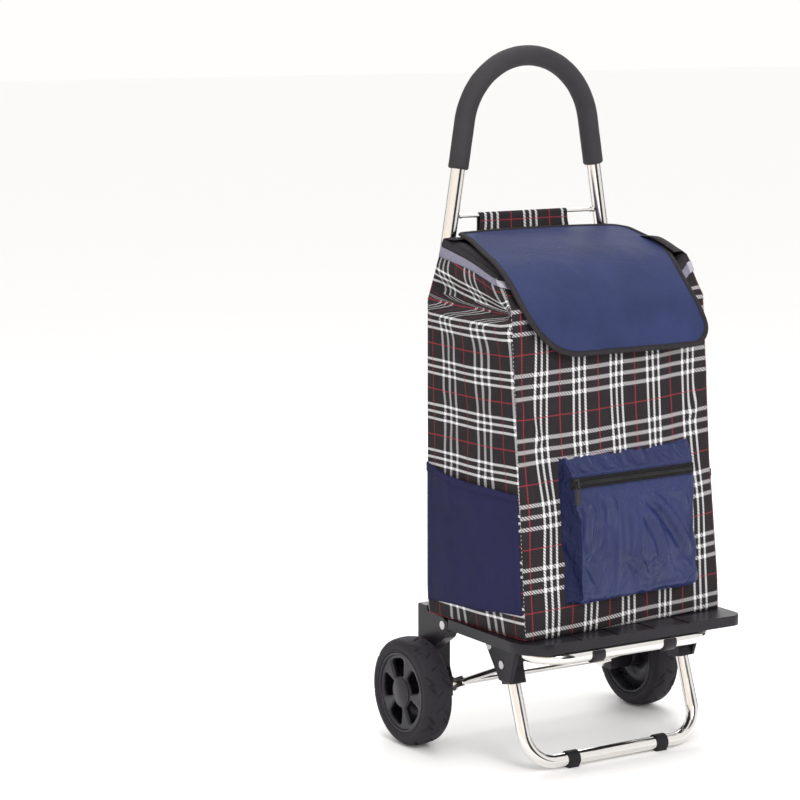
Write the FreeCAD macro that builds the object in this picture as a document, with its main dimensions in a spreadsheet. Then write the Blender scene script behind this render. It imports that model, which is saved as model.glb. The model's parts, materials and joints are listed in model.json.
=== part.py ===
import FreeCAD, Part
import Sketcher
import os
from math import atan2, cos, degrees, radians, sin, tan

# Folding two-wheel shopping trolley with a soft bag. Millimetres, +Z up, front = -Y.
# Every piece is drawn with the wheel axle over Y = 0 on the ground plane Z = 0, and is then
# moved back by axle_y, so that the origin lies on the floor under the middle of the object.

SIZES = {
    # origin
    "axle_y": (95, "shift that puts the origin under the middle of the object"),
    # wheels and axle
    "wheel_radius": (80, "tyre outer radius"),
    "wheel_inner": (184, "inner face of a wheel from the middle"),
    "wheel_width": (46, "tyre width"),
    "tyre_seat": (60, "outer radius of the rim, inner radius of the tyre"),
    "tyre_shoulder": (9, "round of the tyre's outer edges"),
    "rim_lip": (52, "inner radius of the rim's ring"),
    "rim_core": (26, "outer radius of the solid disc round the hub"),
    "rim_windows": (5, "openings between the spokes"),
    "window_angle": (46, "angle of one opening"),
    "web_inset": (12, "rim web, below the wheel's outer face"),
    "web_thick": (8, "rim web thickness"),
    "hub_radius": (17, "hub tube radius"),
    "bush_radius": (7, "nylon bush outer radius"),
    "bush_length": (32, "nylon bush length"),
    "cap_radius": (22, "hub cap radius"),
    "axle_radius": (4.5, "steel axle radius"),
    "axle_end": (222, "end of the axle from the middle"),
    "running": (0.06, "radial clearance of a turning fit"),
    # handle
    "handle_y": (11, "plane of the handle tube"),
    "handle_radius": (11, "handle tube radius"),
    "tube_wall": (1.2, "wall of every steel tube"),
    "handle_half": (160, "half width of the vertical legs"),
    "handle_foot": (92, "lower end of the handle tube"),
    "arch_radius": (111, "centreline radius of the arch"),
    "arch_height": (894, "centre of the arch"),
    "splay": (9.3, "lean of the upper legs"),
    "knee_radius": (60, "bend between the vertical and the leaning leg"),
    "grip_radius": (15, "foam grip radius"),
    "grip_end": (843, "lower end of the foam grip"),
    "hang_height": (774, "height of the wire that the bag hangs from"),
    "hang_radius": (3, "wire radius"),
    # rear bracket
    "bracket_inner": (145, "inner face of a rear bracket"),
    "bracket_outer": (182, "outer face of a rear bracket"),
    "ear_inner": (163, "inner face of the bracket's pivot ear"),
    "pin_radius": (4, "pivot pin radius"),
    "pivot_y": (-43.5, "platform pivot"),
    "pivot_z": (184, "platform pivot"),
    # platform
    "board_left": (-185, "left edge of the platform board"),
    "board_right": (197, "right edge of the platform board"),
    "board_front": (-267, "front edge of the platform board"),
    "board_rear": (-62, "rear edge of the platform board"),
    "board_low": (181.5, "underside of the platform skirt"),
    "board_top": (197, "top of the platform board"),
    "board_corner": (45, "radius of the board's front left corner"),
    "board_corner_right": (18, "radius of the board's front right corner"),
    "board_skin": (3, "thickness of the board's top"),
    "board_wall": (3.5, "thickness of the board's skirt"),
    "board_tube_y": (-257.5, "front run of the tube under the board"),
    "board_tube_z": (172, "height of the tube under the board"),
    "board_tube_rear": (-131, "rear ends of the tube under the board"),
    "tube_radius": (9.5, "radius of the thin tubes"),
    "tube_half": (150, "half width of the tube under the board"),
    "tube_bend": (45, "bend radius of the thin tubes"),
    "board_rib": (12, "half width of the board's ribs over the tube, on their inner side"),
    "board_rib_out": (9.5, "half width of the board's ribs over the tube, on their outer side"),
    "clip_x": (63, "clips on the tube under the board"),
    "clip_wall": (3, "wall of a clip"),
    "clip_width": (20, "width of a clip"),
    # stand
    "foot_y": (-222.6, "foot bar of the stand"),
    "foot_z": (12, "foot bar of the stand"),
    "stand_half": (150.7, "half width of the stand"),
    "stand_lean": (19.9, "forward lean of the stand"),
    "stand_leg": (137, "length of a stand leg above the foot bar"),
    "foot_clip_x": (78.6, "rubber feet on the foot bar"),
    "foot_clip_width": (18, "width of a rubber foot"),
    "stand_pivot_y": (-143, "stand pivot on the platform tube"),
    "stand_pivot_z": (173, "stand pivot on the platform tube"),
    "link_pivot_y": (-174.5, "pivot between link and stand"),
    "link_pivot_z": (151, "pivot between link and stand"),
    "cheek_inner": (160.4, "inner face of the knuckle's cheek"),
    "cheek_outer": (166.4, "outer face of the knuckle's cheek"),
    "socket_inner": (137.2, "inner face of the knuckle's socket"),
    "link_inner": (133, "inner face of a link"),
    "link_thick": (3, "link thickness"),
    "link_radius": (7.5, "half width of a link's flat end at the knuckle"),
    "link_eye": (11, "half width of a link's flat end at the axle"),
    "link_rod": (5, "radius of the rod between a link's flat ends"),
    "link_neck": (26, "length of a link's flat ends"),
    # bag
    "bag_low": (197.4, "bottom of the bag"),
    "bag_fold": (660, "height where the top of the bag starts to lean in"),
    "bag_rim": (744, "rim at the rear"),
    "bag_rim_front": (700, "rim at the front"),
    "bag_wall": (3, "wall of the bag, lining included"),
    "bag_lean": (0.085, "backward slope of the bag's front"),
    "base_gap": (1, "room round the stiff board in the bag's bottom"),
    "base_rear": (-62, "rear edge of the stiff board in the bag's bottom"),
    "base_rear_left": (-177, "rear left corner of the stiff board"),
    "base_thick": (3, "thickness of the stiff board"),
    "front_left_x": (-171, "front left corner of the bag"),
    "front_left_y": (-240, "front left corner of the bag"),
    "front_right_x": (188, "front right corner of the bag"),
    "front_right_y": (-218, "front right corner of the bag"),
    "rear_left_x": (-186, "rear left corner of the bag"),
    "rear_left_y": (-5, "rear left corner of the bag"),
    "rear_right_x": (172, "rear right corner of the bag"),
    "rear_right_y": (-2.5, "rear right corner of the bag"),
    "rim_front_y": (-146, "front of the rim"),
    "top_left_x": (-128, "front left corner of the bag's top, before the rim is cut"),
    "top_left_y": (-78, "front left corner of the bag's top, before the rim is cut"),
    "top_right_x": (150, "front right corner of the bag's top, before the rim is cut"),
    "top_right_y": (-81, "front right corner of the bag's top, before the rim is cut"),
    "top_rear_left": (-160, "rear left corner of the bag's top"),
    "top_rear_right": (166, "rear right corner of the bag's top"),
    "hem_width": (8, "black hem of the rim"),
    "band_width": (15, "grey band under the hem"),
    "trim_thick": (1, "thickness of hem and band"),
    # front pocket, measured on the bag's front face
    "pocket_left": (-103, "left side of the front pocket"),
    "pocket_right": (141, "right side of the front pocket"),
    "pocket_low": (46, "bottom of the front pocket"),
    "pocket_shoulder": (229, "where the pocket's roof starts"),
    "pocket_high": (257, "top of the front pocket"),
    "pocket_depth": (24, "how far the front pocket stands out"),
    "pocket_wall": (2, "wall of the front pocket"),
    "zip_height": (216, "zipper, middle"),
    "zip_width": (15, "zipper tape width"),
    "slit_width": (9, "opening under the zipper"),
    "slider_start": (-89, "slider at rest"),
    "pull_axis": (29.8, "axis of the zip pull, out from the bag's front face"),
    # side pockets
    "side_low": (227, "bottom of a side pocket"),
    "side_high": (425, "top of a side pocket"),
    "side_length": (212, "length of a side pocket"),
    "side_depth": (13, "how far a side pocket stands out"),
    "side_wall": (1.5, "wall of a side pocket"),
    "side_gap_left": (0.6, "room between the bag and the left side pocket"),
    "side_gap_right": (1.6, "room between the bag and the right side pocket"),
    # strap and lid
    "strap_left": (-85, "hanging strap"),
    "strap_right": (70, "hanging strap"),
    "strap_thick": (1.6, "hanging strap"),
    "lid_left": (-150, "left edge of the lid"),
    "lid_right": (158, "right edge of the lid"),
    "lid_thick": (2.4, "thickness of the lid"),
    "lid_flap": (592, "lower edge of the lid's flap"),
    "lid_corner": (60, "radius of the lid's corners"),
    "binding": (7, "width of the lid's binding"),
    "binding_over": (0.8, "how far the binding stands over the lid"),
}

DOC = FreeCAD.newDocument("shopping_trolley")
SHEET = DOC.addObject("Spreadsheet::Sheet", "Size")
X_AXIS, Y_AXIS, Z_AXIS = (FreeCAD.Vector(*v) for v in ((1, 0, 0), (0, 1, 0), (0, 0, 1)))
PIECES = []


class Dim:
    """A size as a sheet expression, with its value beside it."""

    def __init__(self, text, value):
        self.text, self.value = text, float(value)

    def join(self, other, sign, value):
        return Dim(f"({self.text} {sign} {other.text})", value)

    def __add__(self, other):
        other = dim(other)
        return self.join(other, "+", self.value + other.value)

    def __sub__(self, other):
        other = dim(other)
        return self.join(other, "-", self.value - other.value)

    def __mul__(self, other):
        other = dim(other)
        return self.join(other, "*", self.value * other.value)

    def __truediv__(self, other):
        other = dim(other)
        return self.join(other, "/", self.value / other.value)

    def __radd__(self, other):
        return dim(other) + self

    def __rsub__(self, other):
        return dim(other) - self

    def __rmul__(self, other):
        return dim(other) * self

    def __neg__(self):
        return dim(0) - self


def dim(value):
    return value if isinstance(value, Dim) else Dim(repr(float(value)), value)


def sine(angle):
    return Dim(f"sin({angle.text})", sin(radians(angle.value)))


def cosine(angle):
    return Dim(f"cos({angle.text})", cos(radians(angle.value)))


def tangent(angle):
    return Dim(f"tan({angle.text})", tan(radians(angle.value)))


class Sizes:
    """size.wheel_radius is the sheet's wheel_radius."""

    def __getattr__(self, name):
        return Dim(f"Size.{name}", SIZES[name][0])


size = Sizes()


def fill_sheet():
    for row, (name, (value, meaning)) in enumerate(SIZES.items(), 1):
        SHEET.set(f"A{row}", name)
        SHEET.set(f"B{row}", str(value))
        SHEET.set(f"C{row}", meaning)
        SHEET.setAlias(f"B{row}", name)
    DOC.recompute()


def bind(thing, **sizes):
    for name, value in sizes.items():
        thing.setExpression(name.replace("__", "."), dim(value).text)
    return thing


def turn(axis, angle):
    return FreeCAD.Rotation(axis, angle)


def place(thing, at, turned=None):
    """Put a thing at a bound point, with a fixed rotation."""
    thing.Placement = FreeCAD.Placement(FreeCAD.Vector(), turned or FreeCAD.Rotation())
    x, y, z = at
    return bind(thing, Placement__Base__x=x, Placement__Base__y=y, Placement__Base__z=z)


TOWARD_X = turn(Y_AXIS, 90)
TOWARD_Y = turn(X_AXIS, -90)


def cylinder(name, radius, height, at, turned=None):
    thing = bind(DOC.addObject("Part::Cylinder", name), Radius=radius, Height=height)
    return place(thing, at, turned)


def sector(name, radius, height, angle, at, turned):
    return bind(cylinder(name, radius, height, at, turned), Angle=angle)


def box(name, length, width, height, at, turned=None):
    thing = bind(DOC.addObject("Part::Box", name), Length=length, Width=width, Height=height)
    return place(thing, at, turned)


def ring(name, radius, tube, sweep, at, turned=None):
    """Part of a torus: a bend of a tube."""
    thing = DOC.addObject("Part::Torus", name)
    bind(thing, Radius1=radius, Radius2=tube, Angle3=sweep)
    return place(thing, at, turned)


def fuse(name, *parts):
    thing = DOC.addObject("Part::MultiFuse", name)
    thing.Shapes = list(parts)
    return thing


def cut(name, base, *tools):
    thing = DOC.addObject("Part::Cut", name)
    thing.Base = base
    thing.Tool = tools[0] if len(tools) == 1 else fuse(name + "_tool", *tools)
    return thing


def group(name, *parts):
    """Separate solids that share one node."""
    thing = DOC.addObject("Part::Compound", name)
    thing.Links = list(parts)
    return thing


def mirror(name, source):
    thing = DOC.addObject("Part::Mirroring", name)
    thing.Source, thing.Base, thing.Normal = source, FreeCAD.Vector(), X_AXIS
    return thing


def piece(name, thing, shifted=True):
    """Name a finished piece, and move it from the axle's frame to the object's."""
    thing.Label = name
    if shifted:
        bind(thing, Placement__Base__y=size.axle_y)
    PIECES.append(thing)
    return thing


def pair(name, right):
    """A right-hand piece and its mirror image."""
    piece(name + "_right", right)
    piece(name + "_left", mirror(name + "_mirror", right), shifted=False)


# ---------------------------------------------------------------- bodies with sketches


def new_body(name):
    return DOC.addObject("PartDesign::Body", name + "_body")


def origin_plane(body, role):
    return next(f for f in body.Origin.OriginFeatures if f.Role == role)


def new_sketch(body, name, role, offset=0):
    sketch = body.newObject("Sketcher::SketchObject", name)
    sketch.AttachmentSupport = (origin_plane(body, role), [""])
    sketch.MapMode = "FlatFace"
    return bind(sketch, AttachmentOffset__Base__z=offset)


def fix_point(sketch, geometry, point, x, y):
    for kind, value in (("DistanceX", x), ("DistanceY", y)):
        value = dim(value)
        index = sketch.addConstraint(
            Sketcher.Constraint(kind, -1, 1, geometry, point, value.value)
        )
        sketch.setExpression(f"Constraints[{index}]", value.text)


def polygon(body, name, role, points, offset=0):
    """A closed outline whose corners are bound to the sheet."""
    sketch = new_sketch(body, name, role, offset)
    corners = [FreeCAD.Vector(dim(x).value, dim(y).value, 0) for x, y in points]
    for start, end in zip(corners, corners[1:] + corners[:1]):
        sketch.addGeometry(Part.LineSegment(start, end), False)
    for k, (x, y) in enumerate(points):
        sketch.addConstraint(
            Sketcher.Constraint("Coincident", (k - 1) % len(points), 2, k, 1)
        )
        fix_point(sketch, k, 1, x, y)
    return sketch


def circle(body, name, role, centre, radius, offset=0):
    sketch = new_sketch(body, name, role, offset)
    x, y, radius = (dim(v) for v in (*centre, radius))
    middle = FreeCAD.Vector(x.value, y.value, 0)
    sketch.addGeometry(Part.Circle(middle, Z_AXIS, radius.value), False)
    fix_point(sketch, 0, 3, x, y)
    index = sketch.addConstraint(Sketcher.Constraint("Radius", 0, radius.value))
    sketch.setExpression(f"Constraints[{index}]", radius.text)
    return sketch


def pad(body, sketch, length, reverse=False):
    feature = body.newObject("PartDesign::Pad", sketch.Name + "_pad")
    feature.Profile, feature.Reversed = sketch, reverse
    return bind(feature, Length=length)


def pocket(body, sketch, length, reverse=False):
    feature = body.newObject("PartDesign::Pocket", sketch.Name + "_pocket")
    feature.Profile, feature.Reversed = sketch, reverse
    return bind(feature, Length=length)


def loft(body, kind, name, sections):
    feature = body.newObject(kind, name)
    feature.Profile, feature.Sections = sections[0], sections[1:]
    feature.Ruled = True
    return feature


def revolve(body, sketch, role):
    feature = body.newObject("PartDesign::Revolution", sketch.Name + "_turned")
    axis = next(f for f in body.Origin.OriginFeatures if f.Role == role)
    feature.Profile, feature.ReferenceAxis, feature.Angle = sketch, (axis, [""]), 360
    return feature


def round_edges(body, name, radius, chosen):
    """Fillet the body's edges that the test accepts."""
    DOC.recompute()
    base = body.Tip
    names = [f"Edge{k}" for k, edge in enumerate(base.Shape.Edges, 1) if chosen(edge)]
    feature = body.newObject("PartDesign::Fillet", name)
    feature.Base = (base, names)
    return bind(feature, Radius=radius)


# ---------------------------------------------------------------- tubes


def u_tube(name, half, leg, bend, radius, at, turned):
    """A hollow U: two legs along local Z, joined by a bar along local X."""
    shells = []
    for shell, tube in (("skin", radius), ("bore", radius - size.tube_wall)):
        frame = FreeCAD.Placement(FreeCAD.Vector(), FreeCAD.Rotation())
        label = f"{name}_{shell}"
        parts = [cylinder(label + "_bar", tube, 2 * (half - bend), (bend - half, 0, 0), TOWARD_X)]
        for side, start in ((1, 270), (-1, 180)):
            bent = turn(X_AXIS, 90).multiply(turn(Z_AXIS, start))
            parts.append(cylinder(f"{label}_leg", tube, leg - bend, (side * half, 0, bend)))
            parts.append(ring(f"{label}_bend", bend, tube, 90, (side * (half - bend), 0, bend), bent))
        joined = fuse(label, *parts)
        joined.Placement = frame
        shells.append(joined)
    return place(cut(name, *shells), at, turned)


def handle_run(name, tube, foot, grip_only=False):
    """The handle's centreline as a rod: arch, two leaning legs and two upright legs."""
    rise = size.arch_height + size.arch_radius * sine(size.splay)
    reach = size.arch_radius * cosine(size.splay)
    knee = size.knee_radius * tangent(size.splay / 2)
    corner = rise - (size.handle_half - reach) / tangent(size.splay)
    upright = turn(X_AXIS, 90)
    middle = (0, size.handle_y, size.arch_height)
    arch = ring(name + "_arch", size.arch_radius, tube, 180 - 2 * size.splay, middle, upright)
    arch.Placement.Rotation = upright.multiply(turn(Z_AXIS, size.splay.value))
    parts = [arch]
    for side in (1, -1):
        lean = turn(Y_AXIS, -side * size.splay.value)
        if grip_only:
            low = foot
        else:
            low = corner + knee * cosine(size.splay)
        low_x = reach + (rise - low) * tangent(size.splay)
        length = (rise - low) / cosine(size.splay)
        at = (side * low_x, size.handle_y, low)
        parts.append(cylinder(name + "_lean", tube, length, at, lean))
        if grip_only:
            continue
        start = 0 if side > 0 else 180 - size.splay.value
        bent = upright.multiply(turn(Z_AXIS, start))
        centre = (side * (size.handle_half - size.knee_radius), size.handle_y, corner - knee)
        parts.append(ring(name + "_knee", size.knee_radius, tube, size.splay, centre, bent))
        at = (side * size.handle_half, size.handle_y, foot)
        parts.append(cylinder(name + "_upright", tube, corner - knee - foot, at))
    return fuse(name, *parts)


def make_handle():
    outside = handle_run("handle_skin", size.handle_radius, size.handle_foot)
    inside = handle_run("handle_bore", size.handle_radius - size.tube_wall, size.handle_foot)
    rivets = [rivet_rod(f"handle_hole_{k}", side, 0.05) for k, side in enumerate((1, -1))]
    piece("handle_tube", cut("handle_cut", outside, inside, *rivets))

    foam = handle_run("grip_skin", size.grip_radius, size.grip_end, grip_only=True)
    core = handle_run("grip_core", size.handle_radius, size.grip_end - 20, grip_only=True)
    piece("handle_grip", cut("grip_cut", foam, core))

    reach = size.arch_radius * cosine(size.splay)
    rise = size.arch_height + size.arch_radius * sine(size.splay)
    gap = reach + (rise - size.hang_height) * tangent(size.splay)
    half = gap - size.handle_radius / cosine(size.splay) - 0.6
    wire = cylinder("wire", size.hang_radius, 2 * half, (-half, size.handle_y, size.hang_height), TOWARD_X)
    collars = []
    for side in (1, -1):
        start = half - 4 if side > 0 else -half
        at = (start, size.handle_y, size.hang_height)
        collars.append(cylinder("wire_collar", size.hang_radius + 1.2, 4, at, TOWARD_X))
    piece("hanging_bar", fuse("hanging_bar_fused", wire, *collars))


def rivet_rod(name, side, play):
    """Rod of the rivet that holds the handle tube in its bracket."""
    start = size.bracket_inner if side > 0 else -size.bracket_outer
    at = (start, size.handle_y, 150)
    return cylinder(name, 2.5 + play, size.bracket_outer - size.bracket_inner, at, TOWARD_X)


# ---------------------------------------------------------------- rear brackets and axle


def make_rear_brackets():
    body = new_body("rear_bracket")
    width = size.bracket_outer - size.bracket_inner
    block = polygon(body, "bracket_block", "YZ_Plane", [
        (-14, 65), (14, 65), (24, 82), (24, 205), (-0.8, 205), (-0.8, 196.5), (-28, 196.5),
        (-28, 178), (-6, 150), (-6, 110), (-14, 92),
    ], size.bracket_inner)
    pad(body, block, width)
    round_edges(body, "bracket_round", 3, lambda e: e.BoundBox.XLength > width.value - 1)
    ear = polygon(body, "bracket_ear", "YZ_Plane", [
        (-5, 138), (-5, 196), (size.pivot_y + 2, 196), (size.pivot_y - 12, 190),
        (size.pivot_y - 12, 176), (size.pivot_y - 4, 165),
    ], size.ear_inner)
    pad(body, ear, size.bracket_outer - size.ear_inner)
    socket = circle(body, "bracket_socket", "XY_Plane", (size.handle_half, size.handle_y),
                    size.handle_radius, size.handle_foot)
    pocket(body, socket, 130, reverse=True)
    bore = circle(body, "bracket_axle_hole", "YZ_Plane", (0, size.wheel_radius),
                  size.axle_radius, size.bracket_inner - 1)
    pocket(body, bore, width + 2, reverse=True)
    pin = circle(body, "bracket_pin_hole", "YZ_Plane", (size.pivot_y, size.pivot_z),
                 size.pin_radius, size.ear_inner - 1)
    pocket(body, pin, width, reverse=True)
    rivet = circle(body, "bracket_rivet_hole", "YZ_Plane", (size.handle_y, 150), 2.55,
                   size.bracket_inner - 1)
    pocket(body, rivet, width + 2, reverse=True)
    pair("rear_bracket", body)


def rivet(name, y, z, start, end, radius, head, side):
    """A rivet along X with a low head at each end."""
    low, high = (start, end) if side > 0 else (-1 * dim(end), -1 * dim(start))
    rod = cylinder(name + "_rod", radius, high - low, (low, y, z), TOWARD_X)
    heads = [
        cylinder(name + "_head", head, 1.4, (x, y, z), TOWARD_X)
        for x in (low - 1.4, high)
    ]
    return fuse(name, rod, *heads)


def make_axle():
    rod = cylinder("axle_rod", size.axle_radius, 2 * size.axle_end,
                   (-size.axle_end, 0, size.wheel_radius), TOWARD_X)
    grooves = []
    for side in (1, -1):
        at = size.axle_end - 4 if side > 0 else -1 * (size.axle_end - 2.6)
        outer = cylinder("groove_out", size.axle_radius + 2, 1.4, (at, 0, size.wheel_radius), TOWARD_X)
        core = cylinder("groove_core", size.axle_radius - 0.6, 1.4, (at, 0, size.wheel_radius), TOWARD_X)
        grooves.append(cut("groove", outer, core))
    piece("axle", cut("axle_cut", rod, *grooves))

    clips, washers = [], []
    for side in (1, -1):
        at = size.axle_end - 3.9 if side > 0 else -1 * (size.axle_end - 2.7)
        outer = cylinder("clip_out", 8.5, 1.2, (at, 0, size.wheel_radius), TOWARD_X)
        inner = cylinder("clip_in", size.axle_radius - 0.55, 1.2, (at, 0, size.wheel_radius), TOWARD_X)
        clips.append(cut("clip_ring", outer, inner))
        at = size.bracket_outer + 0.2 if side > 0 else -1 * (size.bracket_outer + 1.6)
        outer = cylinder("washer_out", 10, 1.4, (at, 0, size.wheel_radius), TOWARD_X)
        inner = cylinder("washer_in", size.axle_radius + 0.1, 1.4, (at, 0, size.wheel_radius), TOWARD_X)
        washers.append(cut("washer_ring", outer, inner))
    piece("axle_clips", group("axle_clip_pair", *clips))
    piece("axle_washers", group("axle_washer_pair", *washers))


def make_frame_fasteners():
    pins = [
        rivet("hinge_pin", size.pivot_y, size.pivot_z, size.bracket_inner - 0.3,
              size.bracket_outer + 0.05, size.pin_radius, 6.5, side)
        for side in (1, -1)
    ]
    piece("hinge_pins", group("hinge_pin_pair", *pins))
    rivets = [
        rivet("bracket_rivet", size.handle_y, 150, size.bracket_inner - 0.05,
              size.bracket_outer + 0.05, 2.5, 4.5, side)
        for side in (1, -1)
    ]
    piece("bracket_rivets", group("bracket_rivet_pair", *rivets))


# ---------------------------------------------------------------- wheels


def make_tyre():
    body = new_body("tyre")
    far = size.wheel_inner + size.wheel_width
    section = polygon(body, "tyre_section", "XZ_Plane", [
        (size.wheel_inner, size.tyre_seat), (far, size.tyre_seat),
        (far, size.wheel_radius), (size.wheel_inner, size.wheel_radius),
    ])
    revolve(body, section, "X_Axis")
    round_edges(body, "tyre_round", size.tyre_shoulder,
                lambda e: abs(e.BoundBox.ZLength - 2 * size.wheel_radius.value) < 0.01
                and e.BoundBox.XLength < 0.01)
    place(body, (0, 0, size.wheel_radius))
    pair("tyre", body)


def make_rim():
    far = size.wheel_inner + size.wheel_width
    web_x = far - size.web_inset - size.web_thick
    centre = size.wheel_radius

    def disc(name, radius, start, length):
        return cylinder(name, radius, length, (start, 0, centre), TOWARD_X)

    drum = cut("rim_drum", disc("rim_out", size.tyre_seat, size.wheel_inner, size.wheel_width),
               disc("rim_in", size.rim_lip, size.wheel_inner - 1, size.wheel_width + 2))
    web = disc("rim_web", size.rim_lip + 1, web_x, size.web_thick)
    hub = disc("rim_hub", size.hub_radius, size.wheel_inner, size.wheel_width - 4)
    step = 360 / size.rim_windows.value
    openings, ribs = [], []
    for k in range(int(size.rim_windows.value)):
        middle = 90 + (k + 0.5) * step
        spin = TOWARD_X.multiply(turn(Z_AXIS, middle - size.window_angle.value / 2))
        openings.append(sector("rim_window", size.rim_lip, size.web_thick + 2, size.window_angle,
                               (web_x - 1, 0, centre), spin))
        spin = TOWARD_X.multiply(turn(Z_AXIS, middle + step / 2))
        rib = box("rim_rib", size.rim_lip - size.hub_radius + 2, 5, size.web_thick + 14,
                  (web_x - 8, 0, centre), spin)
        # the rib is centred on its spoke and starts inside the hub
        angle = radians(middle + step / 2)
        inner = size.hub_radius - 1
        shift_z = -cos(angle) * inner + sin(angle) * 2.5 * -1
        shift_y = sin(angle) * inner - cos(angle) * 2.5
        bind(rib, Placement__Base__y=shift_y, Placement__Base__z=centre + shift_z)
        ribs.append(rib)
    windows = cut("rim_windows", fuse("rim_sectors", *openings),
                  disc("rim_core_disc", size.rim_core, web_x - 2, size.web_thick + 4))
    spoked = cut("rim_web_cut", web, windows)
    solid = fuse("rim_solid", drum, spoked, hub, *ribs)
    bore = disc("rim_bore", size.bush_radius, size.wheel_inner - 1, size.wheel_width + 2)
    well = disc("rim_well", size.bush_radius + 4.5, far - 14, 16)
    pair("rim", cut("rim_cut", solid, bore, well))

    bush = cut("bush_cut", disc("bush_out", size.bush_radius, size.wheel_inner, size.bush_length),
               disc("bush_in", size.axle_radius + size.running, size.wheel_inner - 1, size.bush_length + 2))
    pair("hub_bush", bush)

    dome = DOC.addObject("Part::Sphere", "cap_dome")
    dome_radius = 60
    bind(dome, Radius=dome_radius)
    place(dome, (far + 2 - dome_radius, 0, centre))
    slug = disc("cap_slug", size.cap_radius, far - 3.9, 10)
    cap = DOC.addObject("Part::Common", "cap_common")
    cap.Base, cap.Tool = dome, slug
    pair("hub_cap", cap)


# ---------------------------------------------------------------- platform


def make_platform():
    body = new_body("platform_board")
    left, right, front, rear = size.board_left, size.board_right, size.board_front, size.board_rear
    height = size.board_top - size.board_low
    slab = polygon(body, "board_outline", "XY_Plane",
                   [(left, front), (right, front), (right, rear), (left, rear)], size.board_low)
    pad(body, slab, height)
    for name, x, radius in (("left", left, size.board_corner), ("right", right, size.board_corner_right)):
        round_edges(body, f"board_corner_{name}", radius, lambda e, x=x: e.BoundBox.ZLength > 5
                    and e.BoundBox.YMax < front.value + 1 and abs(e.BoundBox.XMax - x.value) < 1)
    wall, beside = size.board_wall, size.tube_half + size.board_rib_out
    hollow = height - size.board_skin
    rooms = [
        (size.board_rib - size.tube_half, size.tube_half - size.board_rib, front + 22, rear - wall),
        (beside, right - wall, front + 24, rear - wall),
        (left + wall, -1 * beside, front + 48, rear - wall),
    ]
    for k, (x1, x2, y1, y2) in enumerate(rooms):
        room = polygon(body, f"board_room_{k}", "XY_Plane",
                       [(x1, y1), (x2, y1), (x2, y2), (x1, y2)], size.board_low)
        pocket(body, room, hollow, reverse=True)
    for k, x in enumerate((-95, -32, 32, 95)):
        groove = polygon(body, f"board_groove_{k}", "XY_Plane", [
            (x - 2.5, front - 1), (x + 2.5, front - 1), (x + 2.5, rear - 20), (x - 2.5, rear - 20),
        ], size.board_top)
        pocket(body, groove, 1)
    for k, start in enumerate((size.bracket_inner, -1 * (size.ear_inner - 2))):
        ear = polygon(body, f"board_ear_{k}", "YZ_Plane", [
            (rear - 16, size.board_low + 0.5), (rear - 8, 173), (size.pivot_y - 3, 172.5),
            (size.pivot_y + 9, 177), (size.pivot_y + 11.5, 184), (size.pivot_y + 9, 192),
            (size.pivot_y + 3, 196), (rear - 16, 196),
        ], start)
        pad(body, ear, size.ear_inner - 2 - size.bracket_inner)
        hole = circle(body, f"board_pin_hole_{k}", "YZ_Plane", (size.pivot_y, size.pivot_z),
                      size.pin_radius + size.running, start - 1)
        pocket(body, hole, size.ear_inner - size.bracket_inner, reverse=True)
    piece("platform_board", body)

    at = (0, size.board_tube_y, size.board_tube_z)
    tube = u_tube("board_tube", size.tube_half, size.board_tube_rear - size.board_tube_y,
                  size.tube_bend, size.tube_radius, at, TOWARD_Y)
    holes = [
        cylinder("board_tube_hole", 3.5 + size.running, 30,
                 (x, size.stand_pivot_y, size.stand_pivot_z), TOWARD_X)
        for x in (size.tube_half - 15, -1 * (size.tube_half + 15))
    ]
    piece("platform_tube", cut("platform_tube_cut", tube, *holes))

    clips = []
    for x in (-size.clip_x, size.clip_x):
        start = x - size.clip_width / 2
        outer = cylinder("board_clip_out", size.tube_radius + size.clip_wall, size.clip_width,
                         (start, size.board_tube_y, size.board_tube_z), TOWARD_X)
        inner = cylinder("board_clip_in", size.tube_radius, size.clip_width + 2,
                         (start - 1, size.board_tube_y, size.board_tube_z), TOWARD_X)
        above = box("board_clip_above", size.clip_width + 2, 40, 20,
                    (start - 1, size.board_tube_y - 20, size.board_tube_z + 6))
        clips.append(cut("board_clip", outer, inner, above))
    piece("platform_clips", group("platform_clip_pair", *clips))


# ---------------------------------------------------------------- stand and links


def make_stand():
    lean = turn(X_AXIS, -size.stand_lean.value)
    at = (0, size.foot_y, size.foot_z)
    tube = u_tube("stand_u", size.stand_half, size.stand_leg, size.tube_bend, size.tube_radius, at, lean)
    piece("stand_tube", fuse("stand_tube_whole", tube, weld_plugs(lean)))

    body = new_body("foot")
    low = -1 * size.foot_z
    outline = circle(body, "foot_ring", "YZ_Plane", (0, 0), size.tube_radius + size.clip_wall - 0.6,
                     size.foot_clip_x - size.foot_clip_width / 2)
    pad(body, outline, size.foot_clip_width)
    sole = polygon(body, "foot_sole", "YZ_Plane", [(-7, low), (7, low), (10, -5), (-10, -5)],
                   size.foot_clip_x - size.foot_clip_width / 2)
    pad(body, sole, size.foot_clip_width)
    bore = circle(body, "foot_bore", "YZ_Plane", (0, 0), size.tube_radius,
                  size.foot_clip_x - size.foot_clip_width / 2 - 1)
    pocket(body, bore, size.foot_clip_width + 2, reverse=True)
    place(body, at)
    piece("foot_right", body, shifted=False)
    bind(body, Placement__Base__y=size.foot_y + size.axle_y)
    piece("foot_left", mirror("foot_mirror", body), shifted=False)


def weld_plugs(lean):
    """Short inserts in the tops of the stand's legs."""
    plugs = []
    for side in (1, -1):
        plug = cylinder("leg_plug", size.tube_radius - size.tube_wall, 6,
                        (side * size.stand_half, 0, size.stand_leg - 6))
        plugs.append(plug)
    joined = fuse("leg_plugs", *plugs)
    return place(joined, (0, size.foot_y, size.foot_z), lean)


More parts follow.
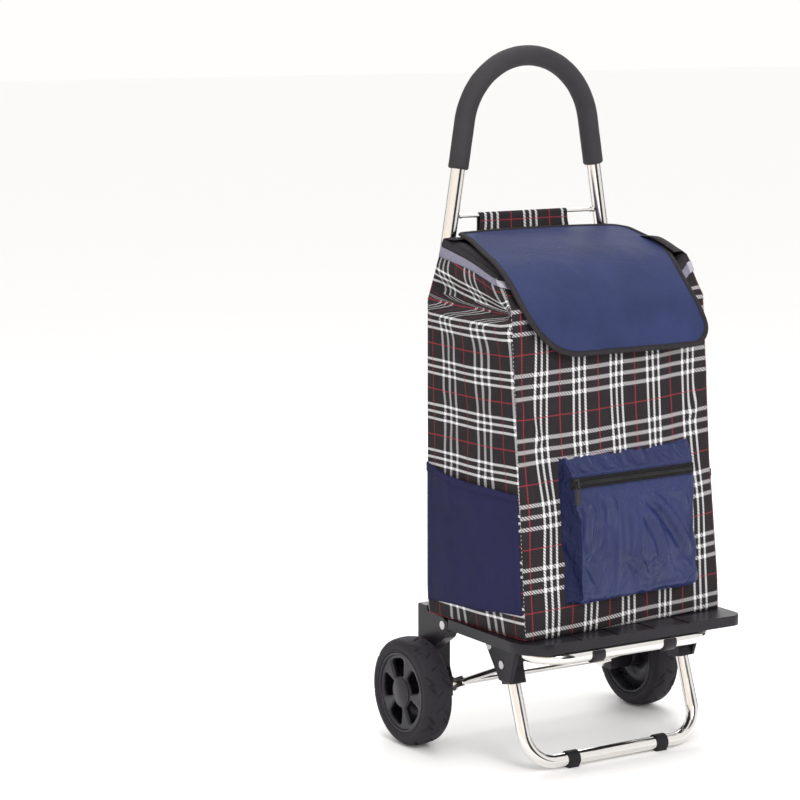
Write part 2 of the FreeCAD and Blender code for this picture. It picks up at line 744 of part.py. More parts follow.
def make_knuckles():
    lean = turn(X_AXIS, -size.stand_lean.value)
    slope = tangent(size.stand_lean)

    def leg_y(z):
        return size.foot_y + (z - size.foot_z) * slope

    body = new_body("knuckle")
    cheek = polygon(body, "knuckle_cheek", "YZ_Plane", [
        (-134, 168), (-133, 177), (-137, 180), (-204, 180), (-210, 172),
        (leg_y(126) - 12, 126), (leg_y(126) + 15, 126),
    ], size.cheek_inner)
    pad(body, cheek, size.cheek_outer - size.cheek_inner)
    core = polygon(body, "knuckle_core", "YZ_Plane", [
        (leg_y(150) - 13.5, 150), (leg_y(150) - 12, 159.5), (leg_y(150) + 10, 159.5),
        (leg_y(148) + 16, 150), (leg_y(126) + 15, 120), (leg_y(126) - 12.5, 126),
    ], size.socket_inner)
    pad(body, core, size.cheek_inner - size.socket_inner)
    round_edges(body, "knuckle_round", 3, lambda e: e.BoundBox.YLength > 8
                and abs(e.BoundBox.XMax - size.cheek_outer.value) < 0.01
                and e.BoundBox.XLength < 0.01)
    leg = cylinder("knuckle_leg", size.tube_radius, size.stand_leg, (
        size.stand_half, size.foot_y, size.foot_z), lean)
    pin = cylinder("knuckle_pin_hole", 3.5, 20, (size.cheek_inner - 5, size.stand_pivot_y,
                                                 size.stand_pivot_z), TOWARD_X)
    rivet_hole = cylinder("knuckle_rivet_hole", 3, 60, (size.socket_inner - 5, size.link_pivot_y,
                                                        size.link_pivot_z), TOWARD_X)
    pair("knuckle", cut("knuckle_cut", body, leg, pin, rivet_hole))

    pins, rivets, ends = [], [], []
    for side in (1, -1):
        start = size.tube_half - size.tube_radius - 0.3
        pins.append(rivet("stand_pin", size.stand_pivot_y, size.stand_pivot_z, start,
                          size.cheek_outer + 0.02, 3.5, 6, side))
        length = size.cheek_outer - size.socket_inner
        x = size.socket_inner if side > 0 else -size.cheek_outer
        rod = cylinder("leg_rivet_rod", 3, length, (x, size.link_pivot_y, size.link_pivot_z), TOWARD_X)
        x = size.cheek_outer if side > 0 else -1 * (size.cheek_outer + 1.4)
        head = cylinder("leg_rivet_head", 6, 1.4, (x, size.link_pivot_y, size.link_pivot_z), TOWARD_X)
        rivets.append(fuse("leg_rivet", rod, head))
    piece("stand_pins", group("stand_pin_pair", *pins))
    piece("leg_rivets", group("leg_rivet_pair", *rivets))


def make_links():
    run_y = size.link_pivot_y.value
    run_z = size.link_pivot_z.value - size.wheel_radius.value
    length = (run_y**2 + run_z**2) ** 0.5
    pitch = degrees(atan2(run_z, -run_y))
    body = new_body("link")
    half, neck = size.link_radius, size.link_neck
    for name, start, end in (("front", -length, neck - length), ("rear", -1 * neck, dim(0))):
        flat = polygon(body, f"link_{name}", "YZ_Plane",
                       [(start, -1 * half), (end, -1 * half), (end, half), (start, half)], size.link_inner)
        pad(body, flat, size.link_thick)
    for name, y, radius in (("axle_end", 0, size.link_eye), ("knuckle_end", -length, half)):
        pad(body, circle(body, f"link_{name}", "YZ_Plane", (y, 0), radius, size.link_inner),
            size.link_thick)
    across = (size.link_inner + size.link_thick - size.link_rod, 0)
    rod = circle(body, "link_rod", "XZ_Plane", across, size.link_rod, neck - 8)
    pad(body, rod, length - 2 * (neck - 8))
    for name, y, radius in (("axle_hole", 0, size.axle_radius + size.running), ("pin_hole", -length, 3)):
        hole = circle(body, f"link_{name}", "YZ_Plane", (y, 0), radius, size.link_inner - 1)
        pocket(body, hole, size.link_thick + 2, reverse=True)
    place(body, (0, size.axle_y, size.wheel_radius), turn(X_AXIS, -pitch))
    piece("link_right", body, shifted=False)
    piece("link_left", mirror("link_mirror", body), shifted=False)

    for name, side in (("right", 1), ("left", -1)):
        start = size.link_inner if side > 0 else -1 * (size.link_inner + size.link_thick)
        rod = cylinder("link_stud_rod", 3, size.link_thick, (start, size.link_pivot_y, size.link_pivot_z),
                       TOWARD_X)
        start = size.link_inner - 1.6 if side > 0 else -1 * size.link_inner
        head = cylinder("link_stud_head", 6, 1.6, (start, size.link_pivot_y, size.link_pivot_z), TOWARD_X)
        piece(f"link_stud_{name}", fuse("link_stud", rod, head))


# ---------------------------------------------------------------- bag


def bag_plan(grow=0):
    """The bag's four bottom corners, moved outwards by grow."""
    return [
        (size.front_left_x - grow, size.front_left_y - grow),
        (size.front_right_x + grow, size.front_right_y - grow),
        (size.rear_right_x + grow, size.rear_right_y + grow),
        (size.rear_left_x - grow, size.rear_left_y + grow),
    ]


def leaned(corners, height):
    """The front corners lean back as they rise."""
    back = (height - size.bag_low) * size.bag_lean
    return [(x, y + back) for x, y in corners[:2]] + corners[2:]


def top_plan(grow=0):
    return [
        (size.top_left_x - grow, size.top_left_y - grow),
        (size.top_right_x + grow, size.top_right_y - grow),
        (size.top_rear_right + grow, size.rear_right_y + grow),
        (size.top_rear_left - grow, size.rear_left_y + grow),
    ]


def rim_line(below):
    """Two points of the sloping rim line in the YZ plane, below the rim."""
    slope = (size.bag_rim - size.bag_rim_front) / (size.rear_left_y - size.rim_front_y)
    rear, front = 60, -300
    return [(y, size.bag_rim - (size.rear_left_y - y) * slope - below) for y in (rear, front)]


def trim_above(body, name, below):
    points = rim_line(below)
    wedge = polygon(body, name, "YZ_Plane", points + [(-300, 900), (60, 900)], -300)
    pocket(body, wedge, 600, reverse=True)


def trim_below(body, name, below):
    points = rim_line(below)
    wedge = polygon(body, name, "YZ_Plane", points + [(-300, 600), (60, 600)], -300)
    pocket(body, wedge, 600, reverse=True)


def top_sections(body, name, grow):
    return [
        polygon(body, name + "_fold", "XY_Plane", leaned(bag_plan(grow), size.bag_fold), size.bag_fold),
        polygon(body, name + "_top", "XY_Plane", top_plan(grow), size.bag_rim + 6),
    ]


def make_bag():
    body = new_body("bag")
    wall = size.bag_wall
    for name, kind, grow, low in (
        ("bag_out", "PartDesign::AdditiveLoft", 0, size.bag_low),
        ("bag_in", "PartDesign::SubtractiveLoft", -wall, size.bag_low + wall),
    ):
        floor = polygon(body, name + "_floor", "XY_Plane", leaned(bag_plan(grow), low), low)
        fold = polygon(body, name + "_waist", "XY_Plane", leaned(bag_plan(grow), size.bag_fold),
                       size.bag_fold)
        loft(body, kind, name + "_lower", [floor, fold])
        loft(body, kind, name + "_upper", top_sections(body, name, grow))
    trim_above(body, "bag_trim", 0)
    piece("bag_body", body)

    board = new_body("bag_base")
    inset = wall + size.base_gap
    low = size.bag_low + wall
    corners = leaned(bag_plan(-1 * inset), low)[:2] + [
        (size.rear_right_x - inset, size.base_rear), (size.base_rear_left, size.base_rear),
    ]
    plate = polygon(board, "bag_base_plan", "XY_Plane", corners, low)
    pad(board, plate, size.base_thick)
    piece("bag_base_board", board)

    for name, below, width in (("rim_hem", 0, size.hem_width),
                               ("rim_band", size.hem_width + 1, size.band_width)):
        strip = new_body(name)
        loft(strip, "PartDesign::AdditiveLoft", name + "_out", top_sections(strip, name + "_o", size.trim_thick))
        loft(strip, "PartDesign::SubtractiveLoft", name + "_in", top_sections(strip, name + "_i", 0.05))
        trim_above(strip, name + "_above", below)
        trim_below(strip, name + "_below", below + width)
        piece(name, strip)


def face_frame():
    """Placement of the bag's front face: x across it, z up it, -y out of it."""
    across_x = size.front_right_x.value - size.front_left_x.value
    across_y = size.front_right_y.value - size.front_left_y.value
    yaw = degrees(atan2(across_y, across_x))
    lean = degrees(atan2(size.bag_lean.value * cos(radians(yaw)), 1))
    middle_y = size.front_left_y + (0 - size.front_left_x) * across_y / across_x
    at = (0, middle_y + size.axle_y, size.bag_low)
    return at, turn(Z_AXIS, yaw).multiply(turn(X_AXIS, -lean))


def make_front_pocket():
    at, turned = face_frame()
    wall, out = size.pocket_wall, -1 * size.pocket_depth
    body = new_body("front_pocket")
    width = size.pocket_right - size.pocket_left
    gap = -0.1
    skin = polygon(body, "pocket_skin", "YZ_Plane", [
        (gap, size.pocket_low), (out + 8, size.pocket_low), (out, size.pocket_low + 14),
        (out, size.pocket_shoulder), (gap, size.pocket_high),
    ], size.pocket_left)
    pad(body, skin, width)
    room = polygon(body, "pocket_room", "YZ_Plane", [
        (gap - wall, size.pocket_low + wall), (out + 8 + wall / 2, size.pocket_low + wall),
        (out + wall, size.pocket_low + 14 + wall / 2), (out + wall, size.pocket_shoulder - wall / 2),
        (gap - wall, size.pocket_high - 2 * wall),
    ], size.pocket_left + wall)
    pocket(body, room, width - 2 * wall, reverse=True)
    low = size.zip_height - size.slit_width / 2
    high = low + size.slit_width
    left, right = size.pocket_left + 10, size.pocket_right - 10
    slit = polygon(body, "pocket_slit", "XZ_Plane", [(left, low), (right, low), (right, high), (left, high)],
                   size.pocket_depth + 1)
    pocket(body, slit, wall + 2)
    place(body, at, turned)
    piece("front_pocket", body, shifted=False)

    tape = new_body("zipper")
    low = size.zip_height - size.zip_width / 2
    left, right = size.pocket_left + 2, size.pocket_right - 2
    strip = polygon(tape, "tape_strip", "XZ_Plane", [
        (left, low), (right, low), (right, low + size.zip_width), (left, low + size.zip_width),
    ], size.pocket_depth + 0.05)
    pad(tape, strip, 0.8)
    teeth_low = size.zip_height - 2.5
    teeth = polygon(tape, "tape_teeth", "XZ_Plane", [
        (left + 6, teeth_low), (right - 6, teeth_low), (right - 6, teeth_low + 5), (left + 6, teeth_low + 5),
    ], size.pocket_depth + 0.5)
    pad(tape, teeth, 1.6)
    place(tape, at, turned)
    piece("zipper_tape", tape, shifted=False)

    slider = new_body("slider")
    x, z = size.slider_start, size.zip_height
    plate = polygon(slider, "slider_plate", "XZ_Plane", [
        (x - 4, z - 7), (x + 4, z - 7), (x + 5, z + 2), (x + 5, z + 7), (x - 5, z + 7), (x - 5, z + 2),
    ], size.pocket_depth + 2.5)
    pad(slider, plate, 2)
    for k, (low, high) in enumerate(((-5, -3), (3, 5))):
        post = polygon(slider, f"slider_post_{k}", "XZ_Plane", [
            (x - 1.5, z + low), (x + 1.5, z + low), (x + 1.5, z + high), (x - 1.5, z + high),
        ], size.pocket_depth + 4.4)
        pad(slider, post, 3)
    beam = polygon(slider, "slider_beam", "XZ_Plane", [
        (x - 1.5, z - 5), (x + 1.5, z - 5), (x + 1.5, z + 5), (x - 1.5, z + 5),
    ], size.pull_axis + 1.2)
    pad(slider, beam, 1.4)
    place(slider, at, turned)
    piece("zip_slider", slider, shifted=False)

    pull = new_body("pull")
    tab = polygon(pull, "pull_tab", "XZ_Plane", [
        (x - 3.5, z), (x + 3.5, z), (x + 4, z - 26), (x + 2, z - 30), (x - 2, z - 30),
        (x - 4, z - 26),
    ], size.pull_axis - 0.7)
    pad(pull, tab, 1.4)
    pad(pull, circle(pull, "pull_bar", "YZ_Plane", (-1 * size.pull_axis, z), 0.8, x - 3.5), 7)
    eye = polygon(pull, "pull_eye", "XZ_Plane", [
        (x - 2.1, z - 8), (x + 2.1, z - 8), (x + 2.1, z - 0.8), (x - 2.1, z - 0.8),
    ], size.pull_axis - 1.5)
    pocket(pull, eye, 3, reverse=True)
    place(pull, at, turned)
    piece("zip_pull", pull, shifted=False)


def make_side_pockets():
    sides = (
        ("left", size.rear_left_x, size.rear_left_y, size.front_left_x, size.front_left_y,
         size.side_gap_left, -1),
        ("right", size.rear_right_x, size.rear_right_y, size.front_right_x, size.front_right_y,
         size.side_gap_right, 1),
    )
    for name, x1, y1, x2, y2, gap, side in sides:
        heading = degrees(atan2((y2 - y1).value, (x2 - x1).value))
        wall = size.side_wall
        height = size.side_high - size.side_low
        # local x runs from the rear edge of the bag's side to its front edge
        outer = box(f"side_{name}_out", size.side_length, size.side_depth, height, (4, 0, 0))
        inner = box(f"side_{name}_in", size.side_length - 2 * wall, size.side_depth - 2 * wall,
                    height, (4 + wall, wall, wall))
        shell = cut(f"side_{name}_cut", outer, inner)
        spin = turn(Z_AXIS, heading)
        out = spin.multVec(FreeCAD.Vector(0, 1, 0))
        outward = out if out.x * side > 0 else out.negative()
        base = outward * (gap.value + (size.side_depth.value if outward.dot(out) < 0 else 0))
        place(shell, (x1 + base.x, y1 + base.y + size.axle_y, size.side_low), spin)
        piece(f"side_pocket_{name}", shell, shifted=False)


def lid_profile():
    """Underside of the closed lid, from its hinge to the lower edge of the flap, as (y, z)."""
    flap = SHEET.lid_flap
    return [(-4, 748.5), (-60, 738), (-113, 723), (-154, 706), (-185, 682), (-207, 655), (-215, 622),
            (-216.5, flap)]


def offset_line(points, distance):
    """Shift an open line sideways: positive is up and outwards for the lid."""
    shifted = []
    for k, (y, z) in enumerate(points):
        y1, z1 = points[max(k - 1, 0)]
        y2, z2 = points[min(k + 1, len(points) - 1)]
        run = ((y2 - y1) ** 2 + (z2 - z1) ** 2) ** 0.5
        shifted.append((y + (z2 - z1) / run * distance, z - (y2 - y1) / run * distance))
    return shifted


def band_solid(line, low, high, left, right):
    """A curved sheet between two offsets of a line, from left to right."""
    points = offset_line(line, low) + offset_line(line, high)[::-1]
    wire = Part.makePolygon([FreeCAD.Vector(left, y, z) for y, z in points + points[:1]])
    return Part.Face(wire).extrude(FreeCAD.Vector(right - left, 0, 0))


def corner_tools(left, right, low, radius):
    """What a rounded lower corner takes away, at both ends of the flap."""
    tools = []
    for x, side in ((left, 1), (right, -1)):
        start = min(x, x + side * radius) - (1 if side > 0 else 0)
        block = Part.makeBox(radius + 1, 60, radius + 1, FreeCAD.Vector(start, -250, low - 1))
        centre = FreeCAD.Vector(x + side * radius, -260, low + radius)
        tools.append(block.cut(Part.makeCylinder(radius, 90, centre, Y_AXIS)))
    return tools


def make_lid():
    line = lid_profile()
    left, right, thick = SHEET.lid_left, SHEET.lid_right, SHEET.lid_thick
    over, width, radius, flap = SHEET.binding_over, SHEET.binding, SHEET.lid_corner, SHEET.lid_flap
    panel = band_solid(line, 0.3, 0.3 + thick, left + over, right - over)
    for tool in corner_tools(left + over, right - over, flap, radius):
        panel = panel.cut(tool)
    add_shape("lid_panel", panel)

    thick_line = line[:-1] + [(line[-1][0], line[-1][1] - over)]
    binding = band_solid(thick_line, 0.3 - over / 2, 0.3 + thick + over, left, right)
    for tool in corner_tools(left, right, flap - over, radius):
        binding = binding.cut(tool)
    window = Part.makeBox(right - left - 2 * width, 300, 400,
                          FreeCAD.Vector(left + width, -290, flap + width))
    for x, side in ((left + width, 1), (right - width, -1)):
        start = min(x, x + side * radius)
        block = Part.makeBox(radius, 60, radius, FreeCAD.Vector(start, -250, flap + width))
        centre = FreeCAD.Vector(x + side * radius, -260, flap + width + radius)
        window = window.cut(block.cut(Part.makeCylinder(radius, 90, centre, Y_AXIS)))
    add_shape("lid_binding", binding.cut(window).cut(panel))


def make_strap():
    """A cloth loop over the wire, both of whose ends are sewn to the bag's rear edge."""
    y, z, wire = SHEET.handle_y, SHEET.hang_height, SHEET.hang_radius
    inner_radius = wire + 0.4
    foot_y, foot_z = -1.8, SHEET.bag_rim - 18
    outer, inner = [], []
    for radius, points in ((inner_radius + SHEET.strap_thick, outer), (inner_radius, inner)):
        for k in range(13):
            angle = radians(200 - k * 18.3)
            points.append((y + radius * cos(angle), z + radius * sin(angle)))
    thick = SHEET.strap_thick
    outline = [(foot_y, foot_z), (foot_y - 0.2, foot_z + 16)] + outer + [(foot_y + 2 * thick + 0.6, foot_z)]
    hole = [(foot_y + thick, foot_z + 12)] + inner
    solids = []
    for points in (outline, hole):
        wire_loop = Part.makePolygon([FreeCAD.Vector(SHEET.strap_left, py, pz) for py, pz in points + points[:1]])
        solids.append(Part.Face(wire_loop).extrude(FreeCAD.Vector(SHEET.strap_right - SHEET.strap_left, 0, 0)))
    add_shape("hanging_strap", solids[0].cut(solids[1]))


def add_shape(name, shape):
    """A piece whose shape no feature makes: its sizes come from the sheet above."""
    thing = DOC.addObject("Part::Feature", name)
    thing.Shape = shape
    thing.Placement = FreeCAD.Placement(FreeCAD.Vector(0, SHEET.axle_y, 0), FreeCAD.Rotation())
    thing.Label = name
    PIECES.append(thing)


# ---------------------------------------------------------------- build and export


def build():
    fill_sheet()
    make_handle()
    make_rear_brackets()
    make_axle()
    make_frame_fasteners()
    make_tyre()
    make_rim()
    make_platform()
    make_stand()
    make_knuckles()
    make_links()
    make_bag()
    make_front_pocket()
    make_side_pockets()
    make_lid()
    make_strap()
    DOC.recompute()


def check():
    for thing in DOC.Objects:
        if {"Invalid", "Error"} & set(thing.State):
            raise SystemExit(f"{thing.Label} failed: {thing.State}")
    for thing in PIECES:
        shape = thing.Shape
        if shape.isNull() or not shape.isValid() or not shape.Solids:
            raise SystemExit(f"{thing.Label} has no valid shape")


def export():
    os.makedirs("parts", exist_ok=True)
    for thing in PIECES:
        thing.Shape.exportStep(f"parts/{thing.Label}.step")
        bounds = thing.Shape.BoundBox
        print(f"{thing.Label:18} solids {len(thing.Shape.Solids)}  "
              f"x {bounds.XMin:7.1f} {bounds.XMax:7.1f}  y {bounds.YMin:7.1f} {bounds.YMax:7.1f}  "
              f"z {bounds.ZMin:7.1f} {bounds.ZMax:7.1f}  volume {thing.Shape.Volume / 1000:8.1f} cm3")


build()
check()
export()
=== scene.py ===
import json
from math import atan, atan2, cos, hypot, pi, radians, sin

import bmesh
import bpy
import numpy as np
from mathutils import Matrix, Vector, noise


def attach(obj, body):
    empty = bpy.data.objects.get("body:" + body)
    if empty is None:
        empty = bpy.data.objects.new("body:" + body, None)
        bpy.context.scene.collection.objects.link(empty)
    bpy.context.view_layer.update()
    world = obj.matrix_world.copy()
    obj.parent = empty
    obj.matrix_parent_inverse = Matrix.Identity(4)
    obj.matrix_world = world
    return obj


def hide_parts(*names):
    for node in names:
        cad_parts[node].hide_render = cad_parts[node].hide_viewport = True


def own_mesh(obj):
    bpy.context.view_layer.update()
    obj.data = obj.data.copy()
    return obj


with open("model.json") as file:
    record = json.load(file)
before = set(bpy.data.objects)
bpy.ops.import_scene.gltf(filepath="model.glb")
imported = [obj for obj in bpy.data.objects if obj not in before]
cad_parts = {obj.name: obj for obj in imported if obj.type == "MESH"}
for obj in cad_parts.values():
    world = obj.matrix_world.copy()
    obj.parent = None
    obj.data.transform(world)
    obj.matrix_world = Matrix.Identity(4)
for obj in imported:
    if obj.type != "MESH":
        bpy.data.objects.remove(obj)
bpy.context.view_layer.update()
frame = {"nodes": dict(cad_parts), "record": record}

# Shopping trolley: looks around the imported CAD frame. Metres, +Z up, front = -Y.

MM = 0.001


# ------------------------------------------------------------------ camera, light, stage

def add_camera():
    data = bpy.data.cameras.new("camera")
    data.lens, data.sensor_width = 117.28, 36.0
    data.shift_x, data.shift_y = -0.0195, 0.0036
    data.clip_end = 50
    camera = bpy.data.objects.new("camera", data)
    camera.location = (-2.1856, -3.0678, 1.0854)
    camera.rotation_euler = (radians(90 - 8.79), radians(0.08), radians(-32.12))
    bpy.context.scene.collection.objects.link(camera)
    bpy.context.scene.camera = camera


def area_light(name, at, target, size, power, color=(1, 1, 1)):
    data = bpy.data.lights.new(name, "AREA")
    data.shape, data.size, data.size_y = "RECTANGLE", size[0], size[1]
    data.energy, data.color = power, color
    light = bpy.data.objects.new(name, data)
    light.location = at
    light.rotation_euler = (Vector(target) - Vector(at)).to_track_quat("-Z", "Y").to_euler()
    bpy.context.scene.collection.objects.link(light)


def add_lights():
    world = bpy.data.worlds.new("studio")
    bpy.context.scene.world = world
    world.use_nodes = True
    color, strength = world.node_tree.nodes["Background"].inputs[:2]
    color.default_value, strength.default_value = (1.0, 0.99, 0.98, 1), 1.0
    area_light("key", (-0.7, -3.2, 2.4), (0, 0, 0.5), (1.5, 1.5), 62, (1.0, 0.99, 0.97))
    area_light("top", (0.2, 0.4, 2.9), (0, 0, 0.4), (2.0, 2.0), 26)
    area_light("back", (1.4, 2.4, 1.6), (0, 0, 0.5), (1.2, 1.6), 18)
    bpy.context.scene.view_settings.view_transform = "Standard"


CARD_HEIGHT = 2.6


def add_stage():
    bpy.ops.mesh.primitive_plane_add(size=60, location=(0, 0, 0))
    floor = bpy.context.object
    floor.name = "floor"
    floor.data.materials.append(plain_material("floor_paint", (0.965, 0.965, 0.965), 0.8))
    # cards that only shiny pieces see: heading, distance, width, color
    dark, warm = (0.01, 0.01, 0.01), (0.84, 0.78, 0.70)
    for name, heading, distance, width, color in (
        ("flag_middle", 277, 1.75, 1.15, dark),
        ("flag_right", 353, 1.75, 0.50, dark),
        ("flag_left", 118, 1.75, 0.35, dark),
        ("card_warm", 200, 2.1, 3.2, warm),
    ):
        heading = radians(heading)
        at = (distance * cos(heading), distance * sin(heading), CARD_HEIGHT / 2)
        bpy.ops.mesh.primitive_plane_add(size=1, location=at)
        card = bpy.context.object
        card.name = name
        card.rotation_euler = (pi / 2, 0, heading + pi / 2)
        card.scale = (width, CARD_HEIGHT, 1)
        card.visible_camera = card.visible_shadow = card.visible_diffuse = False
        card.data.materials.append(plain_material(name + "_paint", color, 0.9))


# ------------------------------------------------------------------ materials

class Nodes:
    """Short hand for building a material's node tree."""

    def __init__(self, name):
        self.material = bpy.data.materials.new(name)
        self.material.use_nodes = True
        self.tree = self.material.node_tree
        self.shader = self.tree.nodes["Principled BSDF"]

    def node(self, kind, **settings):
        made = self.tree.nodes.new(kind)
        for key, value in settings.items():
            setattr(made, key, value)
        return made

    def link(self, source, target):
        self.tree.links.new(source, target)

    def put(self, value, socket):
        if isinstance(value, bpy.types.NodeSocket):
            self.link(value, socket)
        else:
            socket.default_value = value

    def math(self, operation, a, b=0.0):
        made = self.node("ShaderNodeMath", operation=operation)
        for value, socket in zip((a, b, 0.0), made.inputs):
            self.put(value, socket)
        return made.outputs[0]

    def mix(self, factor, a, b):
        """A blend of two colors; numbers 6, 7 and 2 are the node's color sockets."""
        made = self.node("ShaderNodeMix", data_type="RGBA")
        self.put(factor, made.inputs[0])
        for color, socket in ((a, made.inputs[6]), (b, made.inputs[7])):
            self.put(rgba(color) if isinstance(color, tuple) else color, socket)
        return made.outputs[2]

    def steps(self, value, low, high, out_low=0.0, out_high=1.0):
        """A smooth step of a value from low to high."""
        made = self.node("ShaderNodeMapRange", interpolation_type="SMOOTHSTEP")
        for socket, number in zip(made.inputs, (value, low, high, out_low, out_high)):
            self.put(number, socket)
        return made.outputs[0]

    def noise(self, vector, scale, detail=3.0, rough=0.55, distortion=0.0):
        made = self.node("ShaderNodeTexNoise")
        if vector is not None:
            self.link(vector, made.inputs["Vector"])
        for key, value in (("Scale", scale), ("Detail", detail), ("Roughness", rough),
                           ("Distortion", distortion)):
            made.inputs[key].default_value = value
        return made.outputs["Fac"]

    def position(self):
        return self.node("ShaderNodeTexCoord").outputs["Object"]

    def cloth(self):
        """The cloth's own coordinates, in metres along warp and weft."""
        return self.node("ShaderNodeAttribute", attribute_name="cloth").outputs["Vector"]

    def split(self, vector):
        made = self.node("ShaderNodeSeparateXYZ")
        self.link(vector, made.inputs[0])
        return made.outputs[0], made.outputs[1], made.outputs[2]

    def scaled(self, vector, factors):
        made = self.node("ShaderNodeMapping")
        self.link(vector, made.inputs["Vector"])
        made.inputs["Scale"].default_value = factors
        return made.outputs[0]

    def bump(self, height, strength, distance, below=None):
        made = self.node("ShaderNodeBump")
        made.inputs["Strength"].default_value = strength
        made.inputs["Distance"].default_value = distance
        self.put(height, made.inputs["Height"])
        if below is not None:
            self.link(below, made.inputs["Normal"])
        return made.outputs[0]

    def finish(self, color, rough, normal=None, metal=0.0, specular=None, sheen=None):
        self.put(rgba(color) if isinstance(color, tuple) else color, self.shader.inputs["Base Color"])
        self.put(rough, self.shader.inputs["Roughness"])
        self.put(metal, self.shader.inputs["Metallic"])
        if normal is not None:
            self.link(normal, self.shader.inputs["Normal"])
        if specular is not None:
            self.shader.inputs["Specular IOR Level"].default_value = specular
        if sheen is not None:
            self.shader.inputs["Sheen Weight"].default_value = sheen
            self.shader.inputs["Sheen Roughness"].default_value = 0.4
        return self.material


def rgba(color):
    return (*color, 1.0)


def plain_material(name, color, rough):
    return Nodes(name).finish(color, rough)


def weave_bump(n, vector, thread, strength, depth, below=None):
    """Plain weave: two crossed sets of threads."""
    x, y, _ = n.split(vector)
    waves = [n.math("SINE", n.math("MULTIPLY", c, 2 * pi / thread)) for c in (x, y)]
    return n.bump(n.math("MULTIPLY", waves[0], waves[1]), strength, depth, below)


TWILL_PERIOD = 0.0047
# of each direction's stripes: the repeat, the spacing of the three white lines, their width
WARP, WEFT = (0.0686, 0.0106, 0.0035), (0.0908, 0.0162, 0.0054)


def plaid_material():
    n = Nodes("plaid_twill")
    cloth = n.cloth()
    u, v, _ = n.split(cloth)

    def stripes(along, period, spacing, width):
        """(mask of the three white lines, mask of the red line) across one direction."""
        share = n.math("SUBTRACT", n.math("FRACT", n.math("DIVIDE", along, period)), 0.5)
        away = n.math("ABSOLUTE", n.math("MULTIPLY", share, period))
        near = n.math("MINIMUM", away, n.math("ABSOLUTE", n.math("SUBTRACT", away, spacing)))
        white = n.steps(near, width / 2 - 0.0004, width / 2 + 0.0006, 1.0, 0.0)
        red = n.steps(n.math("SUBTRACT", period / 2, away), 0.0004, 0.0012, 1.0, 0.0)
        return white, red

    warp_white, warp_red = stripes(u, *WARP)
    weft_white, weft_red = stripes(v, *WEFT)
    diagonal = n.math("SINE", n.math("MULTIPLY", n.math("ADD", u, v), 2 * pi / TWILL_PERIOD))
    twill = n.steps(diagonal, -0.7, 0.7)
    ground = n.mix(n.noise(cloth, 55.0, 3.0), (0.010, 0.008, 0.009), (0.024, 0.019, 0.022))
    ground = n.mix(n.math("MULTIPLY", twill, 0.45), ground, (0.036, 0.030, 0.034))
    color = ground
    for mask, share, paint in (
        (weft_white, n.steps(diagonal, -0.6, 0.5, 0.16, 0.95), (0.50, 0.49, 0.50)),
        (warp_white, n.steps(diagonal, -0.3, 0.8, 1.0, 0.34), (0.62, 0.62, 0.63)),
        (warp_white, weft_white, (0.78, 0.78, 0.79)),
        (weft_red, n.steps(twill, 0, 1, 0.40, 0.85), (0.30, 0.030, 0.045)),
        (warp_red, n.steps(twill, 0, 1, 0.85, 0.45), (0.34, 0.030, 0.045)),
    ):
        color = n.mix(n.math("MULTIPLY", mask, share), color, paint)
    normal = n.bump(twill, 0.25, 0.0003)
    normal = weave_bump(n, cloth, THREAD, 0.12, 0.0002, normal)
    normal = n.bump(n.noise(n.position(), 26.0, 2.0), 0.25, 0.004, normal)
    return n.finish(color, 0.82, normal, specular=0.16)


THREAD = 0.0011                      # pitch of the canvas's threads


def canvas_material(name, dark, light, rough=0.62, sheen=0.0, crease=0.0, specular=0.35):
    """Coated nylon canvas: fine weave, slight mottling and, where asked, crumpled creases."""
    n = Nodes(name)
    at = n.position()
    mottle = n.noise(at, 9.0, 4.0, 0.6)
    fine = n.noise(at, 420.0, 2.0, 0.6)
    color = n.mix(n.steps(mottle, 0.3, 0.7), dark, light)
    color = n.mix(n.math("MULTIPLY", fine, 0.35), color, tuple(0.72 * c for c in dark))
    normal = weave_bump(n, n.cloth(), THREAD, 0.22, 0.00025)
    if crease:
        folds = n.noise(n.scaled(at, (14.0, 14.0, 9.0)), 1.0, 3.0, 0.62, 1.6)
        ridge = n.math("ABSOLUTE", n.math("SUBTRACT", folds, 0.5))
        normal = n.bump(n.steps(ridge, 0.0, 0.09), crease, 0.0022, normal)
    roughness = n.steps(mottle, 0.2, 0.8, rough - 0.07, rough + 0.07)
    return n.finish(color, roughness, normal, specular=specular, sheen=sheen)


def tape_material(name, dark, light, rib=0.0014, rough=0.75):
    """Woven tape with ribs across it."""
    n = Nodes(name)
    at = n.position()
    along = n.split(n.cloth())[0]
    ribs = n.math("SINE", n.math("MULTIPLY", along, 2 * pi / rib))
    color = n.mix(n.noise(at, 160.0, 3.0), dark, light)
    normal = n.bump(ribs, 0.3, 0.0003)
    normal = n.bump(n.noise(at, 900.0, 2.0), 0.2, 0.0003, normal)
    return n.finish(color, rough, normal, specular=0.14)


def grain_material(name, dark, light, rough, grain=900.0, specular=0.4):
    """Moulded plastic or rubber with a fine spark-eroded grain and rubbed patches."""
    n = Nodes(name)
    at = n.position()
    patches = n.noise(at, 14.0, 4.0, 0.6)
    grains = n.noise(at, grain, 2.0, 0.7)
    color = n.mix(n.steps(patches, 0.3, 0.75), dark, light)
    color = n.mix(n.math("MULTIPLY", grains, 0.25), color, tuple(min(1, 1.9 * c) for c in light))
    roughness = n.steps(patches, 0.25, 0.8, rough - 0.08, rough + 0.08)
    return n.finish(color, roughness, n.bump(grains, 0.35, 0.0002), specular=specular)


